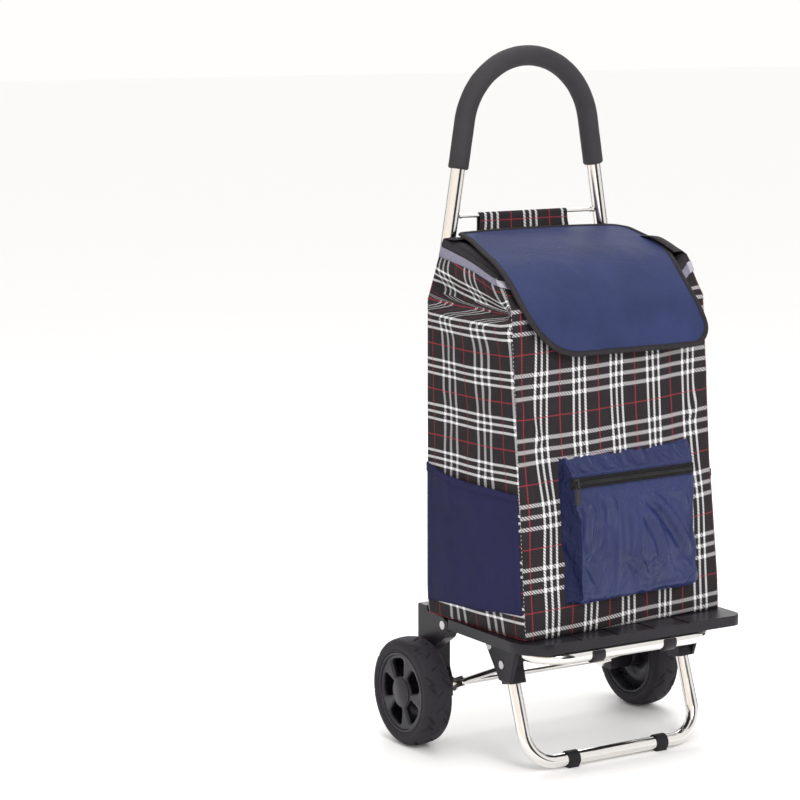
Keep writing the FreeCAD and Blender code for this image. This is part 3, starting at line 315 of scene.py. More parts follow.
def foam_material(name, dark, light):
    """Closed-cell foam: pores, their pits darkened with painted shade, and a soft, dry surface."""
    n = Nodes(name)
    at = n.position()
    pores = n.node("ShaderNodeTexVoronoi", feature="F1")
    n.link(at, pores.inputs["Vector"])
    pores.inputs["Scale"].default_value = 620.0
    pit = n.steps(pores.outputs["Distance"], 0.08, 0.45)
    color = n.mix(n.noise(at, 30.0, 4.0), dark, light)
    # painted shade: the colour darkens in the pits of the pores
    color = n.mix(n.math("MULTIPLY", n.math("SUBTRACT", 1.0, pit), 0.45), color,
                  tuple(0.45 * c for c in dark))
    normal = n.bump(pit, 0.4, 0.0004)
    normal = n.bump(n.noise(at, 60.0, 3.0), 0.15, 0.002, normal)
    return n.finish(color, 0.70, normal, specular=0.26)


def chrome_material():
    n = Nodes("polished_tube")
    at = n.position()
    smear = n.noise(at, 22.0, 3.0, 0.6)
    brush = n.noise(n.scaled(at, (700.0, 700.0, 18.0)), 1.0, 2.0)
    color = n.mix(smear, (0.78, 0.755, 0.72), (0.86, 0.84, 0.82))
    roughness = n.steps(smear, 0.3, 0.8, 0.10, 0.19)
    return n.finish(color, roughness, n.bump(brush, 0.03, 0.0001), metal=1.0)


def zinc_material():
    n = Nodes("zinc_plate")
    at = n.position()
    clouds = n.noise(at, 45.0, 4.0, 0.65)
    scratch = n.noise(n.scaled(at, (120.0, 1500.0, 1500.0)), 1.0, 2.0)
    color = n.mix(clouds, (0.42, 0.42, 0.43), (0.62, 0.61, 0.60))
    roughness = n.steps(clouds, 0.3, 0.75, 0.30 - 0.06, 0.30 + 0.12)
    return n.finish(color, roughness, n.bump(scratch, 0.08, 0.0002), metal=1.0)


def make_materials():
    """Materials by slot. Each cloth, plastic and tape is given its dark and its light shade."""
    return {
        "polished_steel": chrome_material(),
        "zinc_steel": zinc_material(),
        "grip_foam": foam_material("grip_foam_black", (0.026, 0.024, 0.027), (0.042, 0.039, 0.043)),
        "black_plastic": grain_material(
            "moulded_black", (0.008, 0.007, 0.010), (0.015, 0.013, 0.017), 0.38, specular=0.26),
        "foot_rubber": grain_material(
            "foot_rubber_black", (0.008, 0.008, 0.009), (0.015, 0.014, 0.016), 0.6, specular=0.22),
        "tyre_foam": foam_material("tyre_foam_black", (0.013, 0.011, 0.015), (0.024, 0.021, 0.027)),
        "rim_plastic": grain_material(
            "rim_charcoal", (0.010, 0.009, 0.012), (0.019, 0.017, 0.022), 0.34, specular=0.26),
        "bush_nylon": grain_material("bush_white", (0.50, 0.50, 0.47), (0.62, 0.61, 0.58), 0.45),
        "plaid_cloth": plaid_material(),
        "lid_cloth": canvas_material(
            "lid_navy", (0.019, 0.028, 0.086), (0.030, 0.041, 0.122), 0.66, crease=0.16, specular=0.18),
        "pocket_cloth": canvas_material(
            "pocket_navy", (0.011, 0.018, 0.078), (0.018, 0.028, 0.115), 0.36, crease=0.38, specular=0.42),
        # painted shade: a darker copy of the pocket cloth for the pocket's sloping left side
        "pocket_gusset": canvas_material(
            "pocket_gusset_shaded_navy", (0.006, 0.010, 0.045), (0.010, 0.015, 0.066), 0.55,
            crease=0.60, specular=0.16),
        "side_pocket_cloth": canvas_material(
            "side_pocket_navy", (0.014, 0.014, 0.050), (0.020, 0.019, 0.070), 0.76,
            crease=0.12, specular=0.14),
        "black_binding": tape_material("binding_black", (0.017, 0.015, 0.018), (0.036, 0.032, 0.036)),
        "grey_band": tape_material("band_grey", (0.15, 0.145, 0.200), (0.24, 0.23, 0.30), 0.0018, 0.6),
        "grey_tab": tape_material("tab_grey", (0.30, 0.29, 0.34), (0.46, 0.45, 0.50), 0.0018, 0.6),
        "zip_tape": tape_material("zip_tape_black", (0.008, 0.007, 0.008), (0.016, 0.015, 0.016), 0.0012),
        "zip_metal": grain_material("zip_enamel", (0.012, 0.012, 0.013), (0.024, 0.024, 0.025), 0.30, 300.0),
        "base_board": canvas_material(
            "board_lining", (0.014, 0.014, 0.015), (0.024, 0.024, 0.026), sheen=0.1),
        "lining": canvas_material(
            "lining_black", (0.012, 0.012, 0.013), (0.022, 0.021, 0.023), 0.8, sheen=0.1, crease=0.15),
        "thread": tape_material("seam_thread", (0.30, 0.29, 0.30), (0.45, 0.44, 0.45), 0.0008),
        "navy_thread": tape_material("navy_thread", (0.012, 0.016, 0.066), (0.026, 0.033, 0.100), 0.0008),
    }


# ------------------------------------------------------------------ mesh helpers

def new_object(name, vertices, faces, loop_cloth, materials, face_slots, smooth):
    """A mesh object with the cloth coordinates kept per face corner."""
    mesh = bpy.data.meshes.new(name)
    mesh.from_pydata([tuple(v) for v in vertices], [], faces)
    for material in materials:
        mesh.materials.append(material)
    attribute = mesh.attributes.new("cloth", "FLOAT_VECTOR", "CORNER")
    attribute.data.foreach_set("vector", np.asarray(loop_cloth, np.float32).ravel())
    mesh.polygons.foreach_set("material_index", np.asarray(face_slots, np.int32))
    mesh.polygons.foreach_set("use_smooth", [smooth] * len(mesh.polygons))
    mesh.update()
    piece = bpy.data.objects.new(name, mesh)
    bpy.context.scene.collection.objects.link(piece)
    return piece


def merge(piece):
    """Weld the seams between panels that share their edge."""
    work = bmesh.new()
    work.from_mesh(piece.data)
    bmesh.ops.remove_doubles(work, verts=work.verts, dist=0.05 * MM)
    work.to_mesh(piece.data)
    work.free()
    piece.data.update()
    return piece


class Builder:
    """Collects grids and loose faces into one mesh."""

    def __init__(self):
        self.vertices, self.faces, self.cloth, self.slots = [], [], [], []

    def grid(self, points, cloth, slot=0, flip=False):
        """points: rows x columns x 3, cloth: rows x columns x 2."""
        points = np.asarray(points, float)
        rows, columns = points.shape[:2]
        base = len(self.vertices)
        self.vertices.extend(points.reshape(-1, 3))
        flat = np.asarray(cloth, float).reshape(rows * columns, -1)
        for r in range(rows - 1):
            for c in range(columns - 1):
                a = r * columns + c
                corner = [a, a + 1, a + columns + 1, a + columns]
                if flip:
                    corner.reverse()
                self.faces.append([base + k for k in corner])
                self.cloth.extend((flat[k][0], flat[k][1], 0.0) for k in corner)
                self.slots.append(slot)
        return self

    def make(self, name, materials, smooth=True, weld=True):
        piece = new_object(name, self.vertices, self.faces, self.cloth, materials, self.slots, smooth)
        return merge(piece) if weld else piece


def smoothstep(x):
    x = np.clip(x, 0.0, 1.0)
    return x * x * (3 - 2 * x)


def lerp(a, b, t):
    return a + (b - a) * t


def travel(points):
    """Distance travelled at each point of a path."""
    return np.concatenate([[0], np.cumsum(np.linalg.norm(np.diff(points, axis=0), axis=1))])


def read_path(at, travelled, points):
    """Points of a path, or other values kept along it, at given distances."""
    return np.column_stack([np.interp(at, travelled, points[:, a]) for a in range(points.shape[1])])


def unit(vectors):
    return vectors / np.linalg.norm(vectors, axis=1)[:, None]


def closed(rows):
    """Rows of a grid with their first column again at the end."""
    return np.concatenate([rows, rows[:, :1]], axis=1)


def cloth_grid(across, down):
    return np.stack(np.meshgrid(across, down), -1)


def loop_tube(path, section, normals):
    """Sweep a closed section, (a, b) offsets along the normals and sideways, round a closed path."""
    tangent = loop_tangent(path)
    first = unit(normals - tangent * np.sum(normals * tangent, axis=1)[:, None])
    second = np.cross(tangent, first)
    loop = np.array(section + section[:1])
    rows = path[:, None] + first[:, None] * loop[None, :, 0:1] + second[:, None] * loop[None, :, 1:2]
    rows = np.vstack([rows, rows[:1]])
    along = travel(np.vstack([path, path[:1]]))
    cloth = np.stack(np.meshgrid(along, travel(loop), indexing="ij"), -1)
    return Builder().grid(rows, cloth, flip=True)


def loop_tangent(path):
    return unit(np.roll(path, -1, 0) - np.roll(path, 1, 0))


# ------------------------------------------------------------------ the bag's geometry, from the CAD plan

AXLE_Y = 0.095                       # the CAD's shift of the wheel axle from the origin
BAG_LOW, BAG_FOLD, RIM_LEVEL = 0.1974, 0.660, 0.750
BAG_LEAN, CORNER = 0.085, 0.007
FLOOR_PLAN = np.array([(-0.171, -0.240), (0.188, -0.218), (0.172, -0.0025), (-0.186, -0.005)])
RIM_PLAN = np.array([(-0.128, -0.078), (0.178, -0.106), (0.166, -0.0025), (-0.160, -0.005)])
EAR = (0.160, 0.017, 0.013)          # the right front corner stands up: from which x, width, height
RIM_REAR, RIM_SLOPE = 0.744, 0.312   # rim height at the rear, and its fall towards the front
PANELS = ("front", "right", "rear", "left")


def plan_at(z):
    """The bag's four corners at a height, in the axle frame."""
    if z <= BAG_FOLD:
        corners = FLOOR_PLAN.copy()
        corners[1, 0] += lerp(0.006, -0.002, min(1, (z - BAG_LOW) / 0.22))
        corners[:2, 1] += BAG_LEAN * (z - BAG_LOW)
        return corners
    return lerp(plan_at(BAG_FOLD), RIM_PLAN, (z - BAG_FOLD) / (RIM_LEVEL - BAG_FOLD))


def ring_points(corners, radius, share):
    """Points round a plan with rounded corners: share gives, per panel, samples from 0 to 1."""
    panels = []
    for k in range(4):
        before, a, b, after = (corners[(k + j) % 4] for j in (-1, 0, 1, 2))
        along = (b - a) / np.linalg.norm(b - a)
        length = np.linalg.norm(b - a)
        points = []
        for s in share[k]:
            distance = s * length
            p = a + along * distance
            for corner, away, near in ((a, before, distance), (b, after, length - distance)):
                if near < radius:
                    other = (away - corner) / np.linalg.norm(away - corner)
                    inward = along if corner is a else -along
                    # quadratic corner through the middle of both tangent points
                    t = 0.5 + 0.5 * near / radius
                    p = (corner + other * radius) * (1 - t) ** 2 + corner * 2 * t * (1 - t) \
                        + (corner + inward * radius) * t ** 2
            points.append(p)
        panels.append(np.array(points))
    return panels


def panel_samples(count):
    """Samples along a panel, denser at its rounded corners."""
    edge = np.array([0.0, 0.004, 0.009, 0.014, 0.020, 0.029, 0.04])
    middle = np.linspace(0.04, 0.96, count)[1:-1]
    return np.concatenate([edge, middle, 1 - edge[::-1]])


SHARES = [panel_samples(n) for n in (64, 44, 44, 44)]      # per panel, in the order of PANELS
LOWER_ROWS, UPPER_ROWS = 78, 22


def rim_height(y):
    return RIM_REAR + RIM_SLOPE * (y + 0.005)


def soft_noise(points, scale, seed):
    """Smooth noise, -1 to 1, at many points."""
    flat = points.reshape(-1, 3)
    shift = Vector((seed * 3.17, seed * 1.73, seed * 5.11))
    values = [noise.noise(Vector(p) * scale + shift) for p in flat]
    return np.array(values).reshape(points.shape[:-1])


def bag_levels():
    """Heights of the bag's rows: metres up to the fold, then shares of the way to the rim."""
    return np.linspace(BAG_LOW, BAG_FOLD, LOWER_ROWS), np.linspace(0, 1, UPPER_ROWS)[1:]


def bag_panels(grow=0.0):
    """Points of the bag's four panels, rows from the floor to the rim, in the object's frame."""
    lower, upper = bag_levels()
    rows = [[] for _ in range(4)]
    for z in lower:
        radius = CORNER + 0.003 * float(smoothstep(1 - (z - BAG_LOW) / 0.05))
        for k, points in enumerate(ring_points(grown(plan_at(z), grow), radius, SHARES)):
            rows[k].append(np.column_stack([points, np.full(len(points), z)]))
    fold = ring_points(grown(plan_at(BAG_FOLD), grow), CORNER, SHARES)
    rim = ring_points(grown(RIM_PLAN, grow), 0.012, SHARES)
    for t in upper:
        for k in range(4):
            low = np.column_stack([fold[k], np.full(len(fold[k]), BAG_FOLD)])
            high = np.column_stack([rim[k], np.full(len(rim[k]), RIM_LEVEL)])
            # where the ruling from the fold to the rim level meets the sloping rim plane
            rise = high - low
            reach = (rim_height(low[:, 1]) - low[:, 2]) / (rise[:, 2] - RIM_SLOPE * rise[:, 1])
            row = low + rise * (t * reach)[:, None]
            row[:, 2] += EAR[2] * t ** 1.5 * smoothstep((row[:, 0] - EAR[0]) / EAR[1]) \
                * smoothstep((-0.040 - row[:, 1]) / 0.055)
            rows[k].append(row)
    panels = [dress(np.array(r), k) for k, r in enumerate(rows)]
    for panel in panels:
        panel[..., 1] += AXLE_Y
    return panels


def grown(corners, grow):
    """A plan made larger by grow on every side."""
    return corners + np.array([(-1, -1), (1, -1), (1, 1), (-1, 1)]) * grow


OUTWARD = [np.array(v, float) for v in ((0, -1, 0), (1, 0, 0), (0, 1, 0), (-1, 0, 0))]
# pull lines that run into the pocket's top corners: start x, z, direction x, z, height
FRONT_PULLS = ((-0.128, 0.470, -0.035, 0.060, 0.004), (0.146, 0.480, 0.030, 0.065, 0.005))
CREASE = 0.668                       # height at which the side panels fold in, at the rear


def gauss(x, middle, width):
    return np.exp(-((x - middle) / width) ** 2)


def from_rear(share, k):
    """0 at a side panel's rear edge, 1 at its front one: the left panel's shares run that way already."""
    return share if PANELS[k] == "left" else 1 - share


def dress(panel, k):
    """Fullness, sag and folds of one panel."""
    share = SHARES[k][None, :]
    z = panel[..., 2]
    inner = np.sin(pi * np.clip(share, 0, 1)) ** 0.7
    up = np.clip((z - BAG_LOW) / (BAG_FOLD - BAG_LOW), 0, 1)
    tall = smoothstep(up / 0.10) * smoothstep((1.02 - up) / 0.12)
    out = np.zeros_like(z)
    edge = smoothstep(np.minimum(share, 1 - share) / 0.10)
    if PANELS[k] == "front":
        out += 0.005 * inner * tall
        # long slack waves between the fold and the front pocket
        out += 0.0032 * edge * tall * soft_noise(panel * (1.0, 1.0, 0.55), 11.0, 1)
        out += 0.0022 * edge * tall * soft_noise(panel * (1.0, 1.0, 0.35), 30.0, 2)
        for x0, z0, dx, dz, height in FRONT_PULLS:
            t = ((panel[..., 0] - x0) * dx + (z - z0) * dz) / (dx * dx + dz * dz)
            off = np.abs((panel[..., 0] - x0) * dz - (z - z0) * dx) / hypot(dx, dz)
            out += height * np.exp(-(off / 0.008) ** 2) * smoothstep(t / 0.15) * smoothstep((1.5 - t) / 1.0)
    elif PANELS[k] in ("left", "right"):
        forward = from_rear(share, k)
        crease = CREASE - 0.020 * forward ** 1.5
        over = smoothstep((z - crease + 0.060) / 0.045) * smoothstep((crease + 0.004 - z) / 0.022)
        out += 0.004 * inner * tall
        out += 0.0075 * edge * over                             # the panel swells over its crease
        out -= 0.011 * edge * gauss(z, crease + 0.010, 0.013)   # and tucks in under the top
        out += 0.005 * edge * gauss(z, crease + 0.040, 0.018)
        slack = 0.0030 if PANELS[k] == "left" else 0.0022
        out += slack * edge * tall * soft_noise(panel * (1.0, 1.0, 0.5), 13.0, 3)
        out += 0.0016 * edge * soft_noise(panel, 34.0, 4)
    else:
        out += 0.0020 * edge * tall * soft_noise(panel, 12.0, 5) - 0.001 * edge
    # the bottom edge rests round and a little baggy on the board
    out -= 0.0015 * smoothstep(1 - (z - BAG_LOW) / 0.010) ** 2
    moved = panel + OUTWARD[k][None, None, :] * out[..., None]
    if PANELS[k] in ("left", "right"):
        moved[..., 2] -= 0.010 * edge * gauss(z, CREASE - 0.004, 0.020) * (0.35 + 0.65 * forward)
    return moved


def drift(points, size, scale, seed):
    """How far printed stripes wander from straight lines."""
    return size * soft_noise(points * (1.0, 1.0, 0.8), scale, seed)


FRONT_CLOTH = (-0.0135, 0.0367, 0.045)   # shift along warp and weft, and the weft's climb to the right
SIDE_SHIFT, SIDE_LEAN, SIDE_STRETCH = 0.0578, 0.035, 0.0686 / 0.0663


def panel_width(k):
    return np.linalg.norm(FLOOR_PLAN[(k + 1) % 4] - FLOOR_PLAN[k])


def bag_cloth(panel, k):
    """Cloth coordinates of a panel: the side panels are cut with the cloth turned."""
    level = np.concatenate([[0], np.cumsum(np.linalg.norm(np.diff(panel, axis=0), axis=2).mean(1))])
    height = np.broadcast_to(level[:, None], panel.shape[:2]) + BAG_LOW
    width = panel_width(k)
    share = np.broadcast_to(SHARES[k][None, :], panel.shape[:2])
    across = share * width
    wander_u, wander_v = drift(panel, 0.0036, 9.0, 11), drift(panel, 0.0030, 8.0, 12)
    edge = smoothstep(np.minimum(SHARES[k], 1 - SHARES[k]) / 0.08)[None, :]
    if PANELS[k] in ("front", "rear"):
        sway = 0.0045 * np.sin((height - 0.20) * 2 * pi / 0.42) * smoothstep((height - 0.30) / 0.1)
        u = across + wander_u * edge - sway * edge + FRONT_CLOTH[0]
        v = height + wander_v + FRONT_CLOTH[1] - FRONT_CLOTH[2] * (across - 0.02)
        return np.stack([u, v], -1)
    forward = from_rear(share, k)
    u = height * SIDE_STRETCH + wander_v
    v = forward * width + wander_u * edge * 1.3 + SIDE_SHIFT + SIDE_LEAN * (height - BAG_LOW)
    # under the crease the cloth is dragged forward; above it the checks run along the rim
    drag = smoothstep((height - 0.628) / 0.034) ** 2
    above = smoothstep((height - CREASE) / 0.004)
    v = v - (0.085 if PANELS[k] == "left" else 0.020) * drag * (1 - above) + 0.012 * above
    u = u - above * (0.006 - 0.026 * forward)
    return np.stack([u, v], -1)


def close_floor(builder, loop_rows, center, slot, flip):
    """Close a loop with rings that shrink to a point."""
    for panel in loop_rows:
        rings = np.array([lerp(panel, center[None, :], t) for t in (0.0, 0.25, 0.55, 0.85, 1.0)])
        builder.grid(rings, rings[..., :2], slot, flip)


LINING_RISE = 0.0029                 # of the lining's floor over the bag's


def make_bag(materials):
    outer = bag_panels()
    inner = bag_panels(-0.0026)
    builder = Builder()
    for k in range(4):
        builder.grid(outer[k], bag_cloth(outer[k], k), 0, flip=False)
        inner[k][0, :, 2] = BAG_LOW + LINING_RISE
        lining = np.maximum(inner[k], (-9, -9, BAG_LOW + LINING_RISE))
        builder.grid(lining, lining[..., 1:], 1, flip=True)
        rim = np.array([outer[k][-1], inner[k][-1]])
        builder.grid(rim, rim[..., :2], 1)
    centre = np.array([0, -0.10 + AXLE_Y, BAG_LOW])
    close_floor(builder, [o[0] for o in outer], centre, 1, True)
    inside = centre + (0, 0, LINING_RISE)
    close_floor(builder, [np.column_stack([i[0][:, :2], np.full(len(i[0]), inside[2])]) for i in inner],
                    inside, 1, False)
    bag = builder.make("bag", [materials["plaid_cloth"], materials["lining"]])
    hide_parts("bag_body")
    return bag, outer


def loop_at_rim(outer, below, times=0):
    """The bag's outline a distance below the rim, and its outward directions, smoothed some times."""
    points, outward = [], []
    for k, panel in enumerate(outer):
        steps = np.linalg.norm(np.diff(panel[::-1], axis=0), axis=2)
        depth = np.vstack([np.zeros((1, panel.shape[1])), np.cumsum(steps, axis=0)])
        for c in range(panel.shape[1] - 1):
            column = panel[::-1, c]
            points.append([np.interp(below, depth[:, c], column[:, a]) for a in range(3)])
            outward.append(OUTWARD[k])
    return np.array(points), smooth_ring(np.array(outward), times)


def smooth_ring(values, times):
    for _ in range(times):
        values = 0.5 * values + 0.25 * (np.roll(values, 1, 0) + np.roll(values, -1, 0))
    return values


def rim_strip(name, outer, start, end, stand, material, folds, over):
    """A sewn band round the rim, between two distances below it; over: it also folds over the rim."""
    rows = []
    for depth in np.linspace(start, end, 6):
        points, outward = loop_at_rim(outer, depth, 3)
        puff = stand * (0.55 + 0.45 * sin(pi * (depth - start) / (end - start)))
        wave = folds * np.sin(np.arange(len(points)) * 0.9) * soft_noise(points, 25.0, 21)
        rows.append(points + unit(outward) * (puff + wave)[:, None])
    if over:
        points, outward = loop_at_rim(outer, 0.0, 3)
        for out, rise in ((stand * 0.2, 0.0016), (-0.0030, 0.0014), (-0.0042, -0.006)):
            rows.insert(0, points + outward * out + (0, 0, rise))
    rows = closed(np.array(rows))
    cloth = cloth_grid(travel(rows[-1]), np.arange(len(rows)) * 0.003)
    strip = Builder().grid(rows, cloth, flip=True).make(name, [material])
    thicken(strip, 0.0007)
    return strip


def mouth_collar(outer, materials):
    """The black inner hem that stands up between the rim and the lid."""
    points, outward = loop_at_rim(outer, 0.0, 3)
    outward = unit(outward)
    lid_z = np.interp(-(points[:, 1] - AXLE_Y), -LID_LINE[:, 0], LID_LINE[:, 1])
    room = smooth_ring(np.clip(lid_z - rim_height(points[:, 1] - AXLE_Y) - 0.0035, 0.0008, 0.0085), 6)
    # how far in each row lies, and its rise as a share of the room under the lid
    profile = ((0.0022, 0.10), (0.0042, 0.62), (0.0078, 0.90), (0.0140, 1.0), (0.0240, 0.92))
    rows = [points - outward * 0.0020 + (0, 0, -0.0060)]
    for inward, share in profile:
        row = points - outward * inward
        row[:, 2] += share * room
        rows.append(row)
    rows = np.array(rows)
    rows[..., 2] += 0.0010 * soft_noise(rows, 45.0, 23) * np.linspace(0, 1, len(rows))[:, None]
    rows = closed(rows)
    cloth = cloth_grid(travel(rows[0]), np.arange(len(rows)) * 0.004)
    strip = Builder().grid(rows, cloth).make("mouth_collar", [materials["black_binding"]])
    thicken(strip, 0.0006, 0.0)
    return strip


def corner_tab(name, outer, corner, before, after, materials):
    """A pinched fold of grey band that stands out at one front corner of the rim."""
    reach, fullness = 30, 0.0052 if corner == 0 else 0.0010
    rings = [loop_at_rim(outer, depth)[0] for depth in np.linspace(0.0075, 0.0240, 12)]
    outward = unit(loop_at_rim(outer, 0.0, 12)[1])
    start = [0, len(outer[0][0]) - 1][corner]
    index = (start + np.arange(-reach, reach + 1)) % len(outward)
    step = travel(rings[0][index])
    step -= step[reach]
    at = np.linspace(-before, after, 34)
    middle, half = (after - before) / 2, (after + before) / 2
    round_off = np.clip(1 - ((at - middle) / half) ** 4, 0, 1)
    away = read_path(at, step, outward[index])
    rows = []
    for t, ring in zip(np.arange(len(rings)) / (len(rings) - 1), rings):
        pinch = np.exp(-((at + 0.001) / 0.006) ** 2) * sin(pi * min(1, 0.15 + 0.85 * t)) ** 0.6
        puff = 0.0016 + fullness * pinch + 0.0016 * np.exp(-((at - 0.013) / 0.005) ** 2) * (1 - t)
        rows.append(read_path(at, step, ring[index]) + away * (puff * round_off ** 0.3 + 0.0006)[:, None])
    cloth = cloth_grid(at, np.linspace(0, 0.0165, len(rings)))
    tab = Builder().grid(rows, cloth, flip=True).make(name, [materials["grey_tab"]])
    thicken(tab, 0.0009)
    return tab


def thicken(piece, thickness, offset=-1.0, inside=0):
    """Give a surface its thickness, as real geometry; inside: how many slots on its inner material is."""
    modifier = piece.modifiers.new("thickness", "SOLIDIFY")
    modifier.thickness, modifier.offset = thickness, offset
    modifier.material_offset = modifier.material_offset_rim = inside
    bake(piece)


def bake(piece):
    """Apply a piece's modifiers to its mesh."""
    graph = bpy.context.evaluated_depsgraph_get()
    graph.update()
    mesh = bpy.data.meshes.new_from_object(piece.evaluated_get(graph), preserve_all_data_layers=True,
                                           depsgraph=graph)
    old = piece.data
    piece.modifiers.clear()
    piece.data = mesh
    bpy.data.meshes.remove(old)


# ------------------------------------------------------------------ seams and stitches

def small_block(builder, at, along, across, size):
    """A stitch or tooth: a box with a raised, narrower top. along, across: unit directions."""
    up = np.cross(along, across)
    length, width, height = size
    rings = []
    for share, shrink in ((-0.5, 1.0), (0.25, 1.0), (0.6, 0.62)):
        a, b, h = along * length * shrink / 2, across * width * shrink / 2, up * height * share
        rings.append([at + h - a - b, at + h + a - b, at + h + a + b, at + h - a + b])
    base = len(builder.vertices)
    for ring in rings:
        builder.vertices.extend(np.asarray(ring))
    faces = [[base + 3, base + 2, base + 1, base], [base + 8, base + 9, base + 10, base + 11]]
    for level in (0, 4):
        for k in range(4):
            n = (k + 1) % 4
            faces.append([base + level + k, base + level + n, base + level + 4 + n, base + level + 4 + k])
    for face in faces:
        builder.faces.append(face)
        builder.cloth.extend((0.0004 * j, 0.0, 0.0) for j in range(4))
        builder.slots.append(0)


def stitches(builder, path, normals, length, gap, width, height, lift):
    """A row of stitches along a path that lies on a surface; normals: one for each point, or one for all."""
    normals = np.broadcast_to(normals, path.shape)
    step = travel(path)
    position = gap
    while position + length < step[-1]:
        ends = read_path((position, position + length), step, path)
        normal = unit(read_path((position,), step, normals))[0]
        along = ends[1] - ends[0]
        along /= np.linalg.norm(along)
        across = np.cross(normal, along)
        across /= np.linalg.norm(across)
        small_block(builder, (ends[0] + ends[1]) / 2 + normal * lift, along, across, (length, width, height))
        position += length + gap


def make_bag_seams(materials, outer):
    """Stitches down the front corners of the bag."""
    builder = Builder()
    for k, side in ((0, -1), (1, 1)):
        stitches(builder, outer[k][2:, 0], (side * 0.75, -0.66, 0.0), 0.0026, 0.0032, 0.0008, 0.0006, 0.0002)
    return builder.make("corner_stitches", [materials["thread"]], smooth=False, weld=False)


# ------------------------------------------------------------------ lid

LID_LINE = np.array([(-4, 748.5), (-60, 738), (-113, 723), (-154, 706), (-185, 682), (-207, 655),
                     (-215, 622), (-216.5, 592)]) * MM
LID_LEFT, LID_RIGHT = -0.150, 0.158
LID_CORNERS = {"low_left": 0.092, "low_right": 0.034, "rear_left": 0.010, "rear_right": 0.024}
# how the free side edges wave, in metres along the lid and metres outwards
LID_WAVE = {
    "left": ((0, -0.018), (0.043, -0.011), (0.098, -0.001), (0.154, 0.006), (0.200, 0.007), (0.30, 0.007)),
    "right": ((0, 0.004), (0.03, 0.008), (0.058, 0.009), (0.09, 0.009), (0.112, 0.007), (0.138, -0.002),
              (0.157, -0.009), (0.196, -0.0145), (0.231, -0.010), (0.252, 0.0), (0.268, 0.006),
              (0.30, 0.007))}
# folds that run down the lid: x at its rear and at its front, where they start, height, width
LID_FOLDS = ((-0.060, -0.035, 0.45, 0.0044, 0.010), (-0.012, 0.012, 0.52, 0.0034, 0.009),
             (0.070, 0.085, 0.30, 0.0026, 0.014), (0.120, 0.128, 0.6, 0.0026, 0.009))
LID_ROWS, LID_COLUMNS, LID_HALF = 84, 72, 0.0009


def smooth_line(points, count):
    """A Catmull-Rom line through points, evenly spaced."""
    points = np.asarray(points, float)
    ends = np.vstack([2 * points[0] - points[1], points, 2 * points[-1] - points[-2]])
    fine = []
    for k in range(1, len(ends) - 2):
        a, b, c, d = ends[k - 1:k + 3]
        for t in np.linspace(0, 1, 24, endpoint=False):
            fine.append(0.5 * (2 * b + (c - a) * t + (2 * a - 5 * b + 4 * c - d) * t ** 2
                               + (3 * b - a - 3 * c + d) * t ** 3))
    fine = np.array(fine + [points[-1]])
    step = travel(fine)
    return read_path(np.linspace(0, step[-1], count), step, fine), step[-1]


def smooth_wave(points, at):
    """A rounded line through points, read at one place."""
    places, sizes = zip(*points)
    return float(np.mean([np.interp(at + d, places, sizes) for d in np.linspace(-0.018, 0.018, 9)]))


def lid_surface():
    """Mid-surface of the lid: points, outward normals and flat cloth coordinates."""
    line, length = smooth_line(LID_LINE, 400)
    end = 0.5 - 0.5 * np.cos(np.linspace(0, pi, 25))[:13]            # denser rows at both ends
    shares = np.unique(np.concatenate([end * 0.12, np.linspace(0.06, 0.80, LID_ROWS - 50), 1 - end * 0.4]))
    line_shares = np.linspace(0, 1, len(line))
    places = read_path(shares, line_shares, line)
    slopes = read_path(shares, line_shares, unit(np.gradient(line, axis=0)))
    rows, normals, cloth = [], [], []
    for share, (y, z), (ty, tz) in zip(shares, places, slopes):
        travelled = share * length
        limits = []
        for side, x in (("left", LID_LEFT), ("right", LID_RIGHT)):
            inward = 1 if side == "left" else -1
            x -= inward * smooth_wave(LID_WAVE[side], travelled)
            for where, distance in (("rear_", travelled), ("low_", length - travelled)):
                radius = LID_CORNERS[where + side]
                if distance < radius:
                    x += inward * (radius - (radius ** 2 - (radius - distance) ** 2) ** 0.5)
            limits.append(x)
        spread = np.linspace(-1, 1, LID_COLUMNS)
        spread = 0.82 * spread + 0.18 * np.sin(spread * pi / 2)
        x = lerp(limits[0], limits[1], (spread + 1) / 2)
        rows.append([(at, y, z) for at in x])
        normals.append([(0.0, tz, -ty)] * LID_COLUMNS)
        cloth.append([(at, travelled) for at in x])
    points, normals, cloth = np.array(rows), np.array(normals), np.array(cloth)
    x, t = cloth[..., 0], cloth[..., 1] / length
    middle = np.sin(pi * np.clip((x - LID_LEFT) / (LID_RIGHT - LID_LEFT), 0, 1)) ** 0.8
    out = 0.0015 + 0.0035 * middle * smoothstep(t / 0.15)
    out += 0.0034 * soft_noise(points, 9.0, 31) * smoothstep(t / 0.2)
    out += 0.0013 * soft_noise(points, 24.0, 32) * smoothstep(t / 0.1)
    for x0, x1, start, height, width in LID_FOLDS:
        fade = smoothstep((t - start) / 0.2) * smoothstep((1.02 - t) / 0.2)
        out += height * gauss(x, lerp(x0, x1, t), width) * fade
    # the free corners curl out a little, and the rear edge rises in its middle
    out += 0.004 * smoothstep((t - 0.86) / 0.14) * (1 - middle) ** 2
    points = points + normals * out[..., None]
    points[..., 2] += 0.0035 * middle * smoothstep((0.2 - t) / 0.2)
    points[..., 1] += AXLE_Y
    return points, surface_normals(points, normals), cloth, length


def surface_normals(points, like):
    down, along = np.gradient(points, axis=0), np.gradient(points, axis=1)
    normals = np.cross(down, along)
    normals /= np.maximum(np.linalg.norm(normals, axis=2, keepdims=True), 1e-12)
    sign = np.sign(np.sum(normals * like, axis=2, keepdims=True))
    return normals * np.where(sign == 0, 1, sign)


